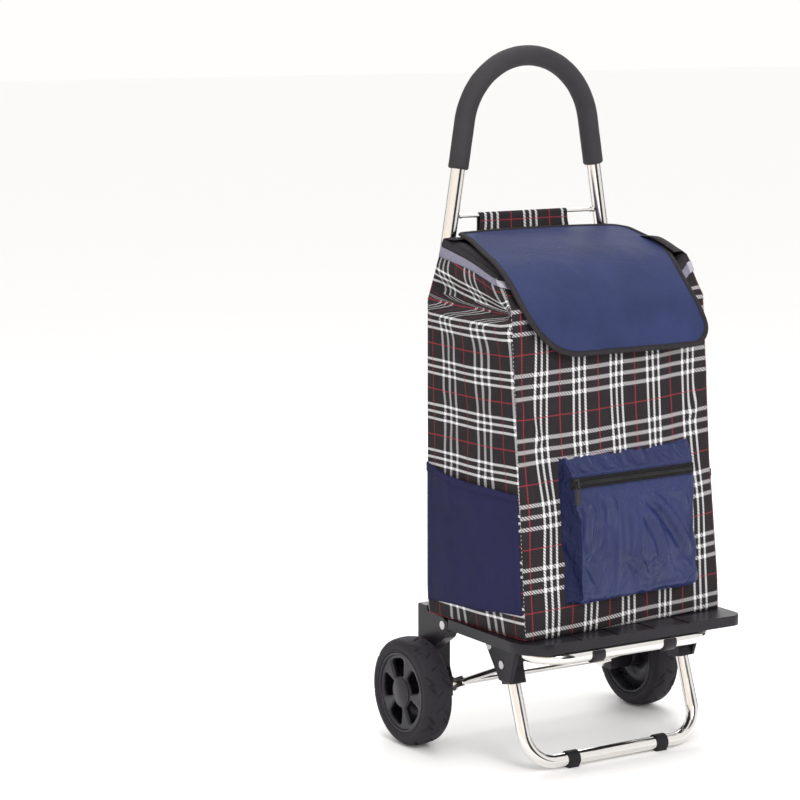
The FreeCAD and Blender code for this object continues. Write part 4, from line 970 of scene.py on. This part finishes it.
def make_lid(materials):
    points, normals, cloth, length = lid_surface()
    builder = Builder()
    builder.grid(points + normals * LID_HALF, cloth, 0, flip=True)
    builder.grid(points - normals * LID_HALF, cloth, 1)
    edge = border(points), border(normals)
    wall = np.array([edge[0] + edge[1] * LID_HALF, edge[0] - edge[1] * LID_HALF])
    builder.grid(wall, wall[..., :2], 1)
    lid = builder.make("lid_cloth_panel", [materials["lid_cloth"], materials["lining"]])
    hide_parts("lid_panel")

    # binding: folded over the edge all round, its seam at a rear corner
    loop, loop_normals = (np.roll(e[:-1], 1 - LID_COLUMNS, axis=0) for e in edge)
    centre = points.reshape(-1, 3).mean(0)
    sideways = np.cross(loop_tangent(loop), loop_normals)
    inward = np.where(np.sum(sideways * (centre - loop), axis=1).mean() > 0, 1.0, -1.0)
    section = [(a, b * inward) for a, b in (
        (0.0019, 0.0066), (0.0023, 0.004), (0.0021, 0.0005), (0.0008, -0.0012), (-0.0008, -0.0012),
        (-0.0021, 0.0005), (-0.0022, 0.004), (-0.0015, 0.0066))]
    if inward < 0:
        section.reverse()
    binding = loop_tube(loop, section, loop_normals).make("lid_edge_binding", [materials["black_binding"]])
    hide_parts("lid_binding")
    builder = Builder()
    inner = loop + unit(sideways) * inward * 0.0054
    stitches(builder, inner, loop_normals, 0.0026, 0.0016, 0.0006, 0.0006, 0.0022)
    seam = builder.make("lid_stitches", [materials["black_binding"]], smooth=False, weld=False)
    return lid, binding, seam


def border(grid):
    """The points round a grid's edge, closed."""
    return np.vstack([grid[0, :-1], grid[:-1, -1], grid[-1, :0:-1], grid[:0:-1, 0], grid[:1, 0]])


# ------------------------------------------------------------------ front pocket and zipper

FACE_YAW = atan2(0.022, 0.359)
FACE_LEAN = atan(BAG_LEAN * cos(FACE_YAW))
FACE_ORIGIN = np.array([0.0, -0.240 + 0.171 * 22 / 359 + AXLE_Y, BAG_LOW])
ACROSS = np.array([cos(FACE_YAW), sin(FACE_YAW), 0.0])
FLAT_BACK = np.array([-sin(FACE_YAW), cos(FACE_YAW), 0.0])
UPWARD = FLAT_BACK * sin(FACE_LEAN) + np.array([0, 0, cos(FACE_LEAN)])
OUT = -(FLAT_BACK * cos(FACE_LEAN) - np.array([0, 0, sin(FACE_LEAN)]))
POCKET_X, POCKET_Z, POCKET_OUT = (-0.103, 0.141), (0.046, 0.257), 0.024
SHOULDER, RIGHT_EDGE, LOW_EDGE = 0.229, 0.012, 0.014     # where the roof starts, widths of the rounded edges
ZIP_Z, ZIP_HALF = 0.216, 0.0078
GUSSET = 0.021                       # how far the left side slopes in, low down
TAPE_START = -0.0945


def on_face(x, z, out):
    """A point from the bag's front-face frame."""
    x, z, out = (np.asarray(v, float)[..., None] for v in (x, z, out))
    return FACE_ORIGIN + ACROSS * x + UPWARD * z + OUT * out


def gusset_width(z):
    """How far the pocket's left side slopes in, less at the zipper."""
    return lerp(GUSSET, 0.0095, smoothstep((np.asarray(z, float) - 0.150) / 0.055))


def pocket_out(x, z):
    """How far the plain front pocket stands out of the bag's face."""
    slope = np.clip((x - POCKET_X[0]) / gusset_width(z), 0, 1) ** 0.85
    steep = np.clip((POCKET_X[1] - x) / RIGHT_EDGE, 0, 1)
    sides = np.minimum(slope, (1 - (1 - steep) ** 2) ** 0.5)
    low = np.clip((z - POCKET_Z[0]) / LOW_EDGE, 0, 1)
    low = (1 - (1 - low) ** 2) ** 0.5
    roof = np.clip((POCKET_Z[1] - z) / (POCKET_Z[1] - SHOULDER), 0, 1) ** 0.75
    lean = 1 - 0.16 * smoothstep((z - 0.10) / 0.15)
    return POCKET_OUT * lean * np.minimum(np.minimum(sides, low), roof)


# creases of the pocket's face: from x, z, to x, z, height, width
POCKET_CREASES = (
    (0.046, 0.190, 0.128, 0.100, 0.0075, 0.0062), (0.040, 0.165, 0.082, 0.088, 0.0058, 0.0055),
    (-0.066, 0.190, -0.060, 0.120, 0.0046, 0.0055), (-0.030, 0.196, -0.020, 0.150, 0.0046, 0.0055),
    (-0.070, 0.110, -0.040, 0.064, 0.0044, 0.0055), (0.000, 0.110, 0.050, 0.060, 0.0040, 0.0055),
    (0.090, 0.190, 0.130, 0.160, 0.0040, 0.0055), (0.095, 0.090, 0.130, 0.062, 0.0040, 0.0055))


def round_steps(edge):
    """Steps from 0 to just under edge, crowded at 0."""
    return edge * (1 - np.cos(np.linspace(0, pi / 2, 7)))[:-1]


def crowded(low, high, count, edge):
    """Samples from low to high, denser at both ends."""
    ends = round_steps(edge)
    return np.concatenate([low + ends, np.linspace(low + edge, high - edge, count), (high - ends)[::-1]])


def make_front_pocket(materials):
    xs = crowded(*POCKET_X, 78, RIGHT_EDGE)
    zs = crowded(*POCKET_Z, 66, LOW_EDGE)
    x, z = np.meshgrid(xs, zs)
    flat = on_face(x, z, pocket_out(x, z) + 0.0006)
    piece = Builder().grid(flat, np.stack([x, z], -1)).make(
        "front_pocket_cloth", [materials["pocket_cloth"], materials["pocket_gusset"]], weld=False)
    # painted shade: the sloping left side takes the darker copy of the pocket cloth
    for face in piece.data.polygons:
        row, column = divmod(min(face.vertices), len(xs))
        face.material_index = int(xs[column] < POCKET_X[0] + gusset_width(zs[row]) - 0.0005)
    held = np.zeros_like(x)
    held[0], held[-1], held[:, 0], held[:, -1] = 1, 1, 1, 1
    held = np.maximum(held, smoothstep((0.0150 - np.abs(z - ZIP_Z)) / 0.004))
    blow(piece, held.ravel())
    now = np.array([v.co for v in piece.data.vertices]).reshape(x.shape + (3,))
    swell = np.sum((now - flat) * OUT, axis=-1)
    moved = now - flat - swell[..., None] * OUT
    swell = np.clip(swell, -0.004, 0.011)
    free = 1 - held
    from_top = POCKET_Z[1] - z
    edge = np.minimum(np.minimum(x - POCKET_X[0], POCKET_X[1] - x), np.minimum(z - POCKET_Z[0], from_top))
    loose = free * smoothstep(edge / 0.03)
    puff = 0.006 * np.sin(pi * np.clip((z - 0.054) / 0.155, 0, 1)) ** 0.8 \
        * np.sin(pi * (x - POCKET_X[0]) / (POCKET_X[1] - POCKET_X[0])) ** 0.7 * free
    creases = np.zeros_like(x)
    for x0, z0, x1, z1, height, width in POCKET_CREASES:
        dx, dz = x1 - x0, z1 - z0
        t = ((x - x0) * dx + (z - z0) * dz) / (dx * dx + dz * dz)
        off = ((x - x0) * dz - (z - z0) * dx) / hypot(dx, dz) + 0.004 * np.sin(t * 5)
        fade = smoothstep((t + 0.1) / 0.3) * smoothstep((1.15 - t) / 0.5)
        creases += height * (gauss(off, 0, width) - 0.7 * gauss(off, 1.9 * width, width)) * fade
    crumple = 0.0008 * soft_noise(flat, 42.0, 41) + 0.0003 * soft_noise(flat, 95.0, 42)
    roof_folds = 0.0007 * np.sin(x * 260 + 3 * np.sin(x * 70)) * smoothstep((z - 0.227) / 0.008) \
        * smoothstep(from_top / 0.012)
    extra = (puff + creases + crumple) * loose + (roof_folds + crumple) * smoothstep((z - 0.227) / 0.006) \
        * smoothstep(from_top / 0.008)
    final = flat + moved * 0.8 + OUT * (swell * 0.75 + extra)[..., None]
    piece.data.vertices.foreach_set("co", final.reshape(-1))
    piece.data.update()
    thicken(piece, 0.0011)
    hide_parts("front_pocket")
    return piece


def blow(piece, held):
    """Puff the pocket's cloth out with a short cloth simulation, its seams and zipper held."""
    group = piece.vertex_groups.new(name="sewn")
    for index, weight in enumerate(held):
        group.add([index], float(weight), "REPLACE")
    modifier = piece.modifiers.new("cloth", "CLOTH")
    setting = modifier.settings
    setting.vertex_group_mass = "sewn"
    setting.pin_stiffness = 1.0
    setting.quality = 6
    setting.mass = 0.12
    setting.tension_stiffness = setting.compression_stiffness = 12
    setting.shear_stiffness, setting.bending_stiffness = 4, 0.12
    setting.shrink_min = setting.shrink_max = -0.035
    setting.use_pressure, setting.uniform_pressure_force = True, 2.2
    setting.effector_weights.gravity = 0.35
    modifier.collision_settings.use_collision = False
    scene, last = bpy.context.scene, 26
    for part in (scene, modifier.point_cache):
        part.frame_start, part.frame_end = 1, last
    for number in range(1, last + 1):
        scene.frame_set(number)
    bake(piece)
    scene.frame_set(1)


def make_zipper(materials):
    lift = 0.0024
    end = POCKET_X[1]
    xs = np.linspace(TAPE_START, end - RIGHT_EDGE, 76)
    xs = np.concatenate([xs, (end - round_steps(RIGHT_EDGE))[::-1]])
    x, dz = np.meshgrid(xs, np.linspace(-ZIP_HALF, ZIP_HALF, 9))
    ripple = 0.00020 * np.sin(x * 420 + dz * 90) + 0.0003 * soft_noise(on_face(x, dz, 0 * x), 60.0, 51)
    out = pocket_out(x, 0 * x + ZIP_Z) + lift + ripple - 0.0007 * (np.abs(dz) / ZIP_HALF) ** 3
    out -= 0.0006 * gauss(np.abs(dz), 0.0031, 0.0006)
    tape = Builder().grid(on_face(x, ZIP_Z + dz, out), np.stack([x, dz], -1)).make(
        "zipper_tape_cloth", [materials["zip_tape"]])
    thicken(tape, 0.0009)
    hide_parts("zipper_tape")

    teeth = Builder()
    start, end, pitch = TAPE_START + 0.001, POCKET_X[1] - 0.011, 0.0019
    for k in range(int((end - start) / pitch)):
        x = start + k * pitch
        at = on_face(x, ZIP_Z, pocket_out(x, ZIP_Z) + lift + 0.0007)
        small_block(teeth, at, ACROSS, UPWARD, (0.00125, 0.0046, 0.0018))
    coil = teeth.make("zipper_teeth", [materials["zip_metal"]], smooth=False, weld=False)

    thread = Builder()

    def row(line, z, normal, gap, lift):
        path = on_face(line, 0 * line + z, pocket_out(line, 0 * line + z))
        stitches(thread, path, normal, 0.0030, gap, 0.0007, 0.0006, lift)

    for offset in (-ZIP_HALF - 0.0016, ZIP_HALF + 0.0018):
        row(xs[5:-5], ZIP_Z + offset, OUT, 0.0016, 0.0011)
    row(xs[3:-3], POCKET_Z[1] - 0.0035, OUT * 0.8 + UPWARD * 0.6, 0.0018, 0.0008)
    seam = thread.make("pocket_stitches", [materials["navy_thread"]], smooth=False, weld=False)
    return tape, coil, seam


def restyled(node, name, material, width):
    """A rigid CAD piece with its edges eased."""
    source = frame["nodes"][node]
    piece = bpy.data.objects.new(name, source.data.copy())
    bpy.context.scene.collection.objects.link(piece)
    work = bmesh.new()
    work.from_mesh(piece.data)
    bmesh.ops.remove_doubles(work, verts=work.verts, dist=1e-6)
    bmesh.ops.dissolve_limit(work, angle_limit=radians(1), verts=work.verts, edges=work.edges)
    work.to_mesh(piece.data)
    work.free()
    piece.data.materials.clear()
    piece.data.materials.append(material)
    bevel = piece.modifiers.new("eased", "BEVEL")
    bevel.width, bevel.segments, bevel.limit_method, bevel.angle_limit = width, 2, "ANGLE", radians(35)
    bake(piece)
    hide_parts(node)
    return piece


# ------------------------------------------------------------------ side pockets

def on_panel(panel, k, share, z):
    """Points on a dressed panel at given shares across it and heights."""
    lower, _ = bag_levels()
    rows = np.interp(z, lower, np.arange(len(lower)))
    columns = np.interp(share, SHARES[k], np.arange(len(SHARES[k])))
    r0, c0 = np.floor(rows).astype(int), np.floor(columns).astype(int)
    c0 = np.minimum(c0, panel.shape[1] - 2)
    fr, fc = (rows - r0)[..., None], (columns - c0)[..., None]
    return (panel[r0, c0] * (1 - fr) * (1 - fc) + panel[r0 + 1, c0] * fr * (1 - fc)
            + panel[r0, c0 + 1] * (1 - fr) * fc + panel[r0 + 1, c0 + 1] * fr * fc)


def make_side_pocket(name, k, outer, materials):
    """A patch pocket from the rear edge to the front seam, its elastic top edge sloping forward."""
    back = np.linspace(0.012, 0.985, 58)                       # 0 at the bag's rear, 1 at its front
    back_grid, rise_grid = np.meshgrid(back, np.linspace(0, 1, 46))
    low = 0.2160 + 0.0180 * back_grid + 0.0010 * np.sin(back_grid * 9)
    top = 0.4035 + 0.0190 * (1 - back_grid) ** 2.2 - 0.0015 * np.sin(2 * pi * back_grid)
    z = low + (top - low) * rise_grid
    base = on_panel(outer[k], k, from_rear(back_grid, k), z)
    edge = np.minimum(smoothstep(np.minimum(back_grid - 0.012, 0.985 - back_grid) / 0.05),
                      smoothstep(rise_grid / 0.06))
    stand = 0.0009 + edge * (0.0012 + 0.0022 * np.sin(pi * back_grid) * (0.25 + 0.75 * rise_grid ** 1.5))
    stand += edge * 0.0012 * soft_noise(base, 16.0, 61 + k) + 0.0004 * edge * soft_noise(base, 60.0, 63)
    gather = smoothstep((rise_grid - 0.93) / 0.05)
    stand += edge * gather * 0.0006 * np.sin(back_grid * 150)
    outward, paint = OUTWARD[k], [materials["side_pocket_cloth"]]
    points = base + outward * stand[..., None]
    width = panel_width(k)
    cloth = np.stack([back_grid * width, z], -1)
    piece = Builder().grid(points, cloth, flip=PANELS[k] == "right").make(name, paint)
    thicken(piece, 0.0013)
    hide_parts("side_pocket_" + PANELS[k])

    hem, tall = [], 0.200                                      # the pocket's height
    for depth, more in ((0.0, 0.0), (0.0, 0.0012), (0.002, 0.0017), (0.011, 0.0015), (0.013, 0.0009)):
        level = 1 - depth / tall
        index = int(round(level * 45))
        hem.append(points[index] + outward * more + (0, 0, (level - index / 45) * tall))
    cloth = cloth_grid(back * width, np.arange(5) * 0.003)
    band = Builder().grid(hem, cloth, flip=PANELS[k] == "left").make(name + "_hem", paint)
    thicken(band, 0.0007)
    thread = Builder()
    for path in (hem[3] + outward * 0.0002, points[:40, 3], points[:40, -4]):
        stitches(thread, path, outward, 0.0030, 0.0018, 0.0006, 0.0005, 0.0003)
    seam = thread.make(name + "_stitches", [materials["navy_thread"]], smooth=False, weld=False)
    return piece, band, seam


# ------------------------------------------------------------------ strap, grip, tyres

STRAP_X, STRAP_CLOTH = (-0.085, 0.070), (0.0145, 0.0573)
WIRE_Y, WIRE_Z = 0.011, 0.774


def make_strap(materials):
    """The sleeve of cloth that hangs the bag from the wire."""
    line = [(0.0032, 0.7330), (0.0040, 0.7450), (0.0056, 0.7640)]
    for k in range(9):
        angle = radians(168 - k * 21)
        line.append((WIRE_Y + 0.0047 * cos(angle), WIRE_Z + 0.0047 * sin(angle)))
    line += [(0.0158, 0.7610), (0.0150, 0.7450), (0.0090, 0.7200), (0.0004, 0.7000)]
    line, length = smooth_line(line, 64)
    x, along = np.meshgrid(np.linspace(*STRAP_X, 60), np.linspace(0, length, len(line)))
    y, z = (np.broadcast_to(line[:, a:a + 1], x.shape) for a in (0, 1))
    cloth = np.stack([x - STRAP_X[0] + STRAP_CLOTH[0], along + STRAP_CLOTH[1]], -1)
    t = along / length
    flare = 0.006 * smoothstep((0.25 - t) / 0.25) + 0.008 * smoothstep((t - 0.6) / 0.4)
    middle = (STRAP_X[0] + STRAP_X[1]) / 2
    x += np.sign(x - middle) * np.abs((x - middle) / (STRAP_X[1] - middle)) ** 3 * flare
    points = np.stack([x, y + AXLE_Y, z], -1)
    points[..., 1] += 0.0008 * soft_noise(points, 30.0, 71) * smoothstep(t / 0.1)
    piece = Builder().grid(points, cloth).make(
        "hanging_sleeve", [materials["plaid_cloth"], materials["lining"]])
    thicken(piece, 0.0013, inside=1)
    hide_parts("hanging_strap")
    return piece


ARCH_RADIUS, ARCH_Z, SPLAY = 0.111, 0.894, radians(9.3)
GRIP_RADIUS, TUBE_RADIUS, GRIP_END = 0.015, 0.011, 0.843


def make_grip(materials):
    """The foam grip: up one splayed leg, over the arch and down the other."""
    rise, reach = ARCH_Z + ARCH_RADIUS * sin(SPLAY), ARCH_RADIUS * cos(SPLAY)
    foot = reach + (rise - GRIP_END) * sin(SPLAY) / cos(SPLAY)
    path = [(foot + (reach - foot) * t, GRIP_END + (rise - GRIP_END) * t)
            for t in (0, 0.004, 0.012, 0.03, 0.06, *np.linspace(0.1, 0.98, 16))]
    path += [(ARCH_RADIUS * cos(a), ARCH_Z + ARCH_RADIUS * sin(a)) for a in np.linspace(SPLAY, pi / 2, 46)]
    path = np.array(path)
    path = np.vstack([path, (path[:-1] * (-1, 1))[::-1]])
    path = np.column_stack([path[:, 0], np.full(len(path), WIRE_Y + AXLE_Y), path[:, 1]])
    tangent = unit(np.gradient(path, axis=0))
    first = unit(np.cross(tangent, (0, 1, 0)))
    second = np.cross(tangent, first)
    steps = travel(path)
    from_end = np.minimum(steps, steps[-1] - steps)
    radius = GRIP_RADIUS - 0.0022 * (1 - np.clip(from_end / 0.0026, 0, 1)) ** 2
    angles = np.linspace(0, 2 * pi, 41)
    rows = []
    for p, a, b, r in zip(path, first, second, radius):
        rows.append([p + a * r * cos(t) + b * r * sin(t) for t in angles])
    rows = np.array(rows)
    uneven = 0.00022 * soft_noise(rows, 60.0, 81)
    uneven[:, -1] = uneven[:, 0]
    centre = path[:, None, :]
    rows = centre + (rows - centre) * (1 + uneven / GRIP_RADIUS)[..., None]
    for end in (0, -1):
        collar = centre[end] + (rows[end] - centre[end]) * ((TUBE_RADIUS + 0.0001) / radius[end])
        rows = np.concatenate([collar[None], rows]) if end == 0 else np.concatenate([rows, collar[None]])
    steps = np.concatenate([[0], steps + 0.003, [steps[-1] + 0.006]])
    cloth = np.stack(np.meshgrid(steps, angles * GRIP_RADIUS, indexing="ij"), -1)
    grip = Builder().grid(rows, cloth, flip=True).make("foam_grip", [materials["grip_foam"]])
    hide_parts("handle_grip")
    return grip


WHEEL_Z, WHEEL_IN, TYRE_WIDTH, TYRE_SEAT, TYRE_RADIUS = 0.080, 0.184, 0.046, 0.060, 0.080


# grooves: across and round the tyre from, across and round to, half width, depth. The first four have a twin
# turned half round the tread's middle
PITCHES, GROOVE = 8, 0.0021
GROOVES = ((0.0180, -0.009, 0.0070, 0.004, GROOVE, 0.0024), (0.0070, 0.004, 0.0165, 0.0055, GROOVE, 0.0024),
           (0.0165, 0.0055, 0.0080, 0.0155, GROOVE, 0.0024),
           (0.0165, 0.0140, 0.0215, 0.0190, GROOVE * 0.8, 0.0015),
           (0.0055, -0.0165, -0.0050, -0.0230, GROOVE * 0.9, 0.0019),
           (0.0060, 0.0235, -0.0035, 0.0170, GROOVE * 0.9, 0.0019))


def tread_depth(angle, across):
    """Depth of the tread's slanted dashes and hooked bars."""
    pitch = 2 * pi / PITCHES
    local = ((angle % pitch) / pitch - 0.5) * pitch * TYRE_RADIUS      # metres round the tyre
    depth = np.zeros_like(local)
    for number, (*ends, width, deep) in enumerate(GROOVES):
        for sign in (1, -1) if number < 4 else (1,):
            x0, y0, x1, y1 = (sign * v for v in ends)
            dx, dy = x1 - x0, y1 - y0
            t = np.clip(((across - x0) * dx + (local - y0) * dy) / (dx * dx + dy * dy), 0, 1)
            away = np.hypot(across - x0 - t * dx, local - y0 - t * dy)
            depth = np.maximum(depth, deep * smoothstep((width - away) / 0.0011))
    return depth


def make_tyre(name, side, materials):
    """Moulded foam tyre: lathe profile with the tread pressed in."""
    half, shoulder, crown = TYRE_WIDTH / 2, 0.010, 0.0014
    profile = [(-half + 0.0008, TYRE_SEAT), (-half, 0.0606), (-half, 0.0622), (-half + 0.0009, 0.0630),
               (-half + 0.0009, 0.0640), (-half, 0.0650), (-half, 0.0680)]
    centre = -half + shoulder, TYRE_RADIUS - crown - shoulder
    for a in np.linspace(0, pi / 2, 9):
        profile.append((centre[0] - shoulder * cos(a), centre[1] + shoulder * sin(a)))
    flat = np.linspace(-half + shoulder, 0, 13)[1:]
    profile += [(x, TYRE_RADIUS - crown * (x / (half - shoulder)) ** 2) for x in flat]
    profile = np.array(profile)
    profile = np.vstack([profile, (profile[:-1] * (-1, 1))[::-1]])
    angles = np.linspace(0, 2 * pi, 361)
    angle, across = np.meshgrid(angles, profile[:, 0], indexing="ij")
    radius = np.broadcast_to(profile[:, 1][None, :], angle.shape).copy()
    tread = smoothstep((radius - 0.0705) / 0.002)
    radius -= tread_depth(angle, across * side) * tread
    centre = side * (WHEEL_IN + half)
    y, z = AXLE_Y + radius * np.sin(angle), WHEEL_Z - radius * np.cos(angle)
    points = np.stack([centre + across, y, z], -1)
    cloth = np.stack(np.meshgrid(angles * TYRE_RADIUS, travel(profile), indexing="ij"), -1)
    builder = Builder().grid(points, cloth, flip=True)
    inner = np.stack([points[:, -1], points[:, 0]], 1)
    builder.grid(inner, inner[..., :2], flip=True)
    tyre = builder.make(name, [materials["tyre_foam"]])
    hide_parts("tyre_right" if side > 0 else "tyre_left")
    return tyre


WINDOWS, WINDOW_TURN, PLATE_OUT, PLATE_THICK = 5, 14.0, 0.0035, 0.0070


def make_rim(name, side, materials):
    """Moulded rim: barrel, a front plate with rounded windows, a closed back plate and the hub tube."""
    half = TYRE_WIDTH / 2
    centre = side * (WHEEL_IN + half)
    builder = Builder()

    def place(across, radius, angle):
        """across: metres outwards along the axle from the wheel's middle."""
        return np.stack(np.broadcast_arrays(
            centre + side * across, AXLE_Y + radius * np.sin(angle), WHEEL_Z + radius * np.cos(angle)), -1)

    def ring(profile):
        """A closed profile, (across, radius) points, turned round the axle."""
        profile = np.array(profile + profile[:1])
        angle, across = np.meshgrid(np.linspace(0, 2 * pi, 121), profile[:, 0], indexing="ij")
        radius = np.meshgrid(angle[:, 0], profile[:, 1], indexing="ij")[1]
        points = place(across, radius, angle)
        builder.grid(points, points[..., 1:], flip=side > 0)

    ring([(-half + 0.0012, 0.0598), (half - 0.0016, 0.0598), (half - 0.0010, 0.0592), (half - 0.0010, 0.0566),
          (half - 0.0018, 0.0558), (half - PLATE_OUT - 0.0012, 0.0552), (-half + 0.0020, 0.0552),
          (-half + 0.0012, 0.0560)])
    ring([(-half + 0.0010, 0.0072), (-half + 0.0010, 0.0160), (-half + 0.0018, 0.0168),
          (half - 0.0055, 0.0168), (half - 0.0048, 0.0160), (half - 0.0048, 0.0116),
          (half - 0.0140, 0.0116), (half - 0.0140, 0.0072)])
    ring([(half - 0.0300, 0.0166), (half - 0.0260, 0.0166), (half - 0.0260, 0.0554), (half - 0.0300, 0.0554)])

    # the front plate, one sector at a time: rings of points from the window's edge to the sector's edge
    front, back = half - PLATE_OUT, half - PLATE_OUT - PLATE_THICK
    count = 64
    turns = np.linspace(0, 2 * pi, count, endpoint=False) + pi / count
    low, high, squareness = 0.0235, 0.0505, 0.36

    def window(grow):
        """The window's outline: its sides run nearly straight out, its corners are rounded."""
        points = []
        for t in turns:
            a, b = (np.sign(v) * abs(v) ** squareness for v in (cos(t), sin(t)))
            radius = (low + high) / 2 + b * ((high - low) / 2 + grow)
            width = lerp(0.0110, 0.0185, (radius - low) / (high - low)) + grow
            points.append((radius, np.arcsin(np.clip(a * width / radius, -0.99, 0.99))))
        return np.array(points)

    def sector():
        """The outline of one share of the plate, from the hub to the barrel."""
        points = []
        limit = pi / WINDOWS
        for t in turns:
            c, s = cos(t), sin(t)
            big = max(abs(c), abs(s))
            points.append((lerp(0.0166, 0.0556, (s / big + 1) / 2), limit * c / big))
        return np.array(points)

    middle = lerp(window(0.0011), sector(), 0.5)
    levels = ((front, sector()), (front + 0.0004, middle), (front, window(0.0011)),
              (front - 0.0011, window(0.0)), (back, window(-0.0002)), (back, sector()))
    for k in range(WINDOWS):
        turn = radians(WINDOW_TURN * -side + 360 / WINDOWS * k)
        rows = closed(np.array([place(across, polar[:, 0], polar[:, 1] + turn) for across, polar in levels]))
        builder.grid(rows, rows[..., 1:], flip=side < 0)
    rim = builder.make(name, [materials["rim_plastic"]])
    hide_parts("rim_right" if side > 0 else "rim_left")
    return rim


# ------------------------------------------------------------------ assembly

def paint_frame(materials):
    """Every carried-over CAD node takes the procedural material of its slot."""
    for row in frame["record"]["subparts"]:
        mesh = frame["nodes"][row["node"]].data
        mesh.materials.clear()
        mesh.materials.append(materials[row["material_slot"]])


def settle(piece, body, soft=True):
    """Attach a finished piece to its body and, where it is soft, give it its own copy of its mesh."""
    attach(piece, body)
    if soft:
        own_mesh(piece)
    return piece


def main():
    add_camera()
    add_lights()
    add_stage()
    materials = make_materials()
    paint_frame(materials)
    bag, outer = make_bag(materials)
    settle(bag, "frame")
    for name, start, end, stand, slot, over in (
        ("rim_hem_cloth", 0.0, 0.009, 0.0014, "black_binding", True),
        ("rim_band_cloth", 0.009, 0.024, 0.0013, "grey_band", False),
    ):
        strip = rim_strip(name, outer, start, end, stand, materials[slot], 0.0 if over else 0.0008, over)
        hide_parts("rim_hem" if over else "rim_band")
        settle(strip, "frame")

    settle(mouth_collar(outer, materials), "frame")
    settle(corner_tab("corner_tab_left", outer, 0, 0.009, 0.024, materials), "frame")
    settle(corner_tab("corner_tab_right", outer, 1, 0.010, 0.004, materials), "frame")
    settle(make_bag_seams(materials, outer), "frame")

    lid, binding, seam = make_lid(materials)
    settle(lid, "lid")
    settle(binding, "lid")
    settle(seam, "lid")

    settle(make_front_pocket(materials), "frame")
    for piece, slot in zip(make_zipper(materials), ("zip_tape", "zip_metal", "pocket_cloth")):
        settle(piece, "frame")
    settle(restyled("zip_slider", "slider", materials["zip_metal"], 0.0004), "zip_slider")
    settle(restyled("zip_pull", "pull_tab", materials["zip_metal"], 0.0003), "zip_pull")
    for name, k in (("side_pocket_right_cloth", 1), ("side_pocket_left_cloth", 3)):
        for piece in make_side_pocket(name, k, outer, materials):
            settle(piece, "frame")

    for node, body, width in (
        ("knuckle_left", "stand", 0.0016), ("knuckle_right", "stand", 0.0016),
        ("rear_bracket_left", "frame", 0.0014), ("rear_bracket_right", "frame", 0.0014),
        ("platform_clips", "platform", 0.0008), ("platform_board", "platform", 0.0010),
    ):
        piece = restyled(node, node + "_moulded", materials["black_plastic"], width)
        settle(piece, body, soft=False)
    settle(make_strap(materials), "frame")
    settle(make_grip(materials), "frame", soft=False)
    for name, side in (("tyre_right_tread", 1), ("tyre_left_tread", -1)):
        wheel = "wheel_right" if side > 0 else "wheel_left"
        settle(make_tyre(name, side, materials), wheel, soft=False)
        settle(make_rim(wheel + "_rim", side, materials), wheel, soft=False)


main()
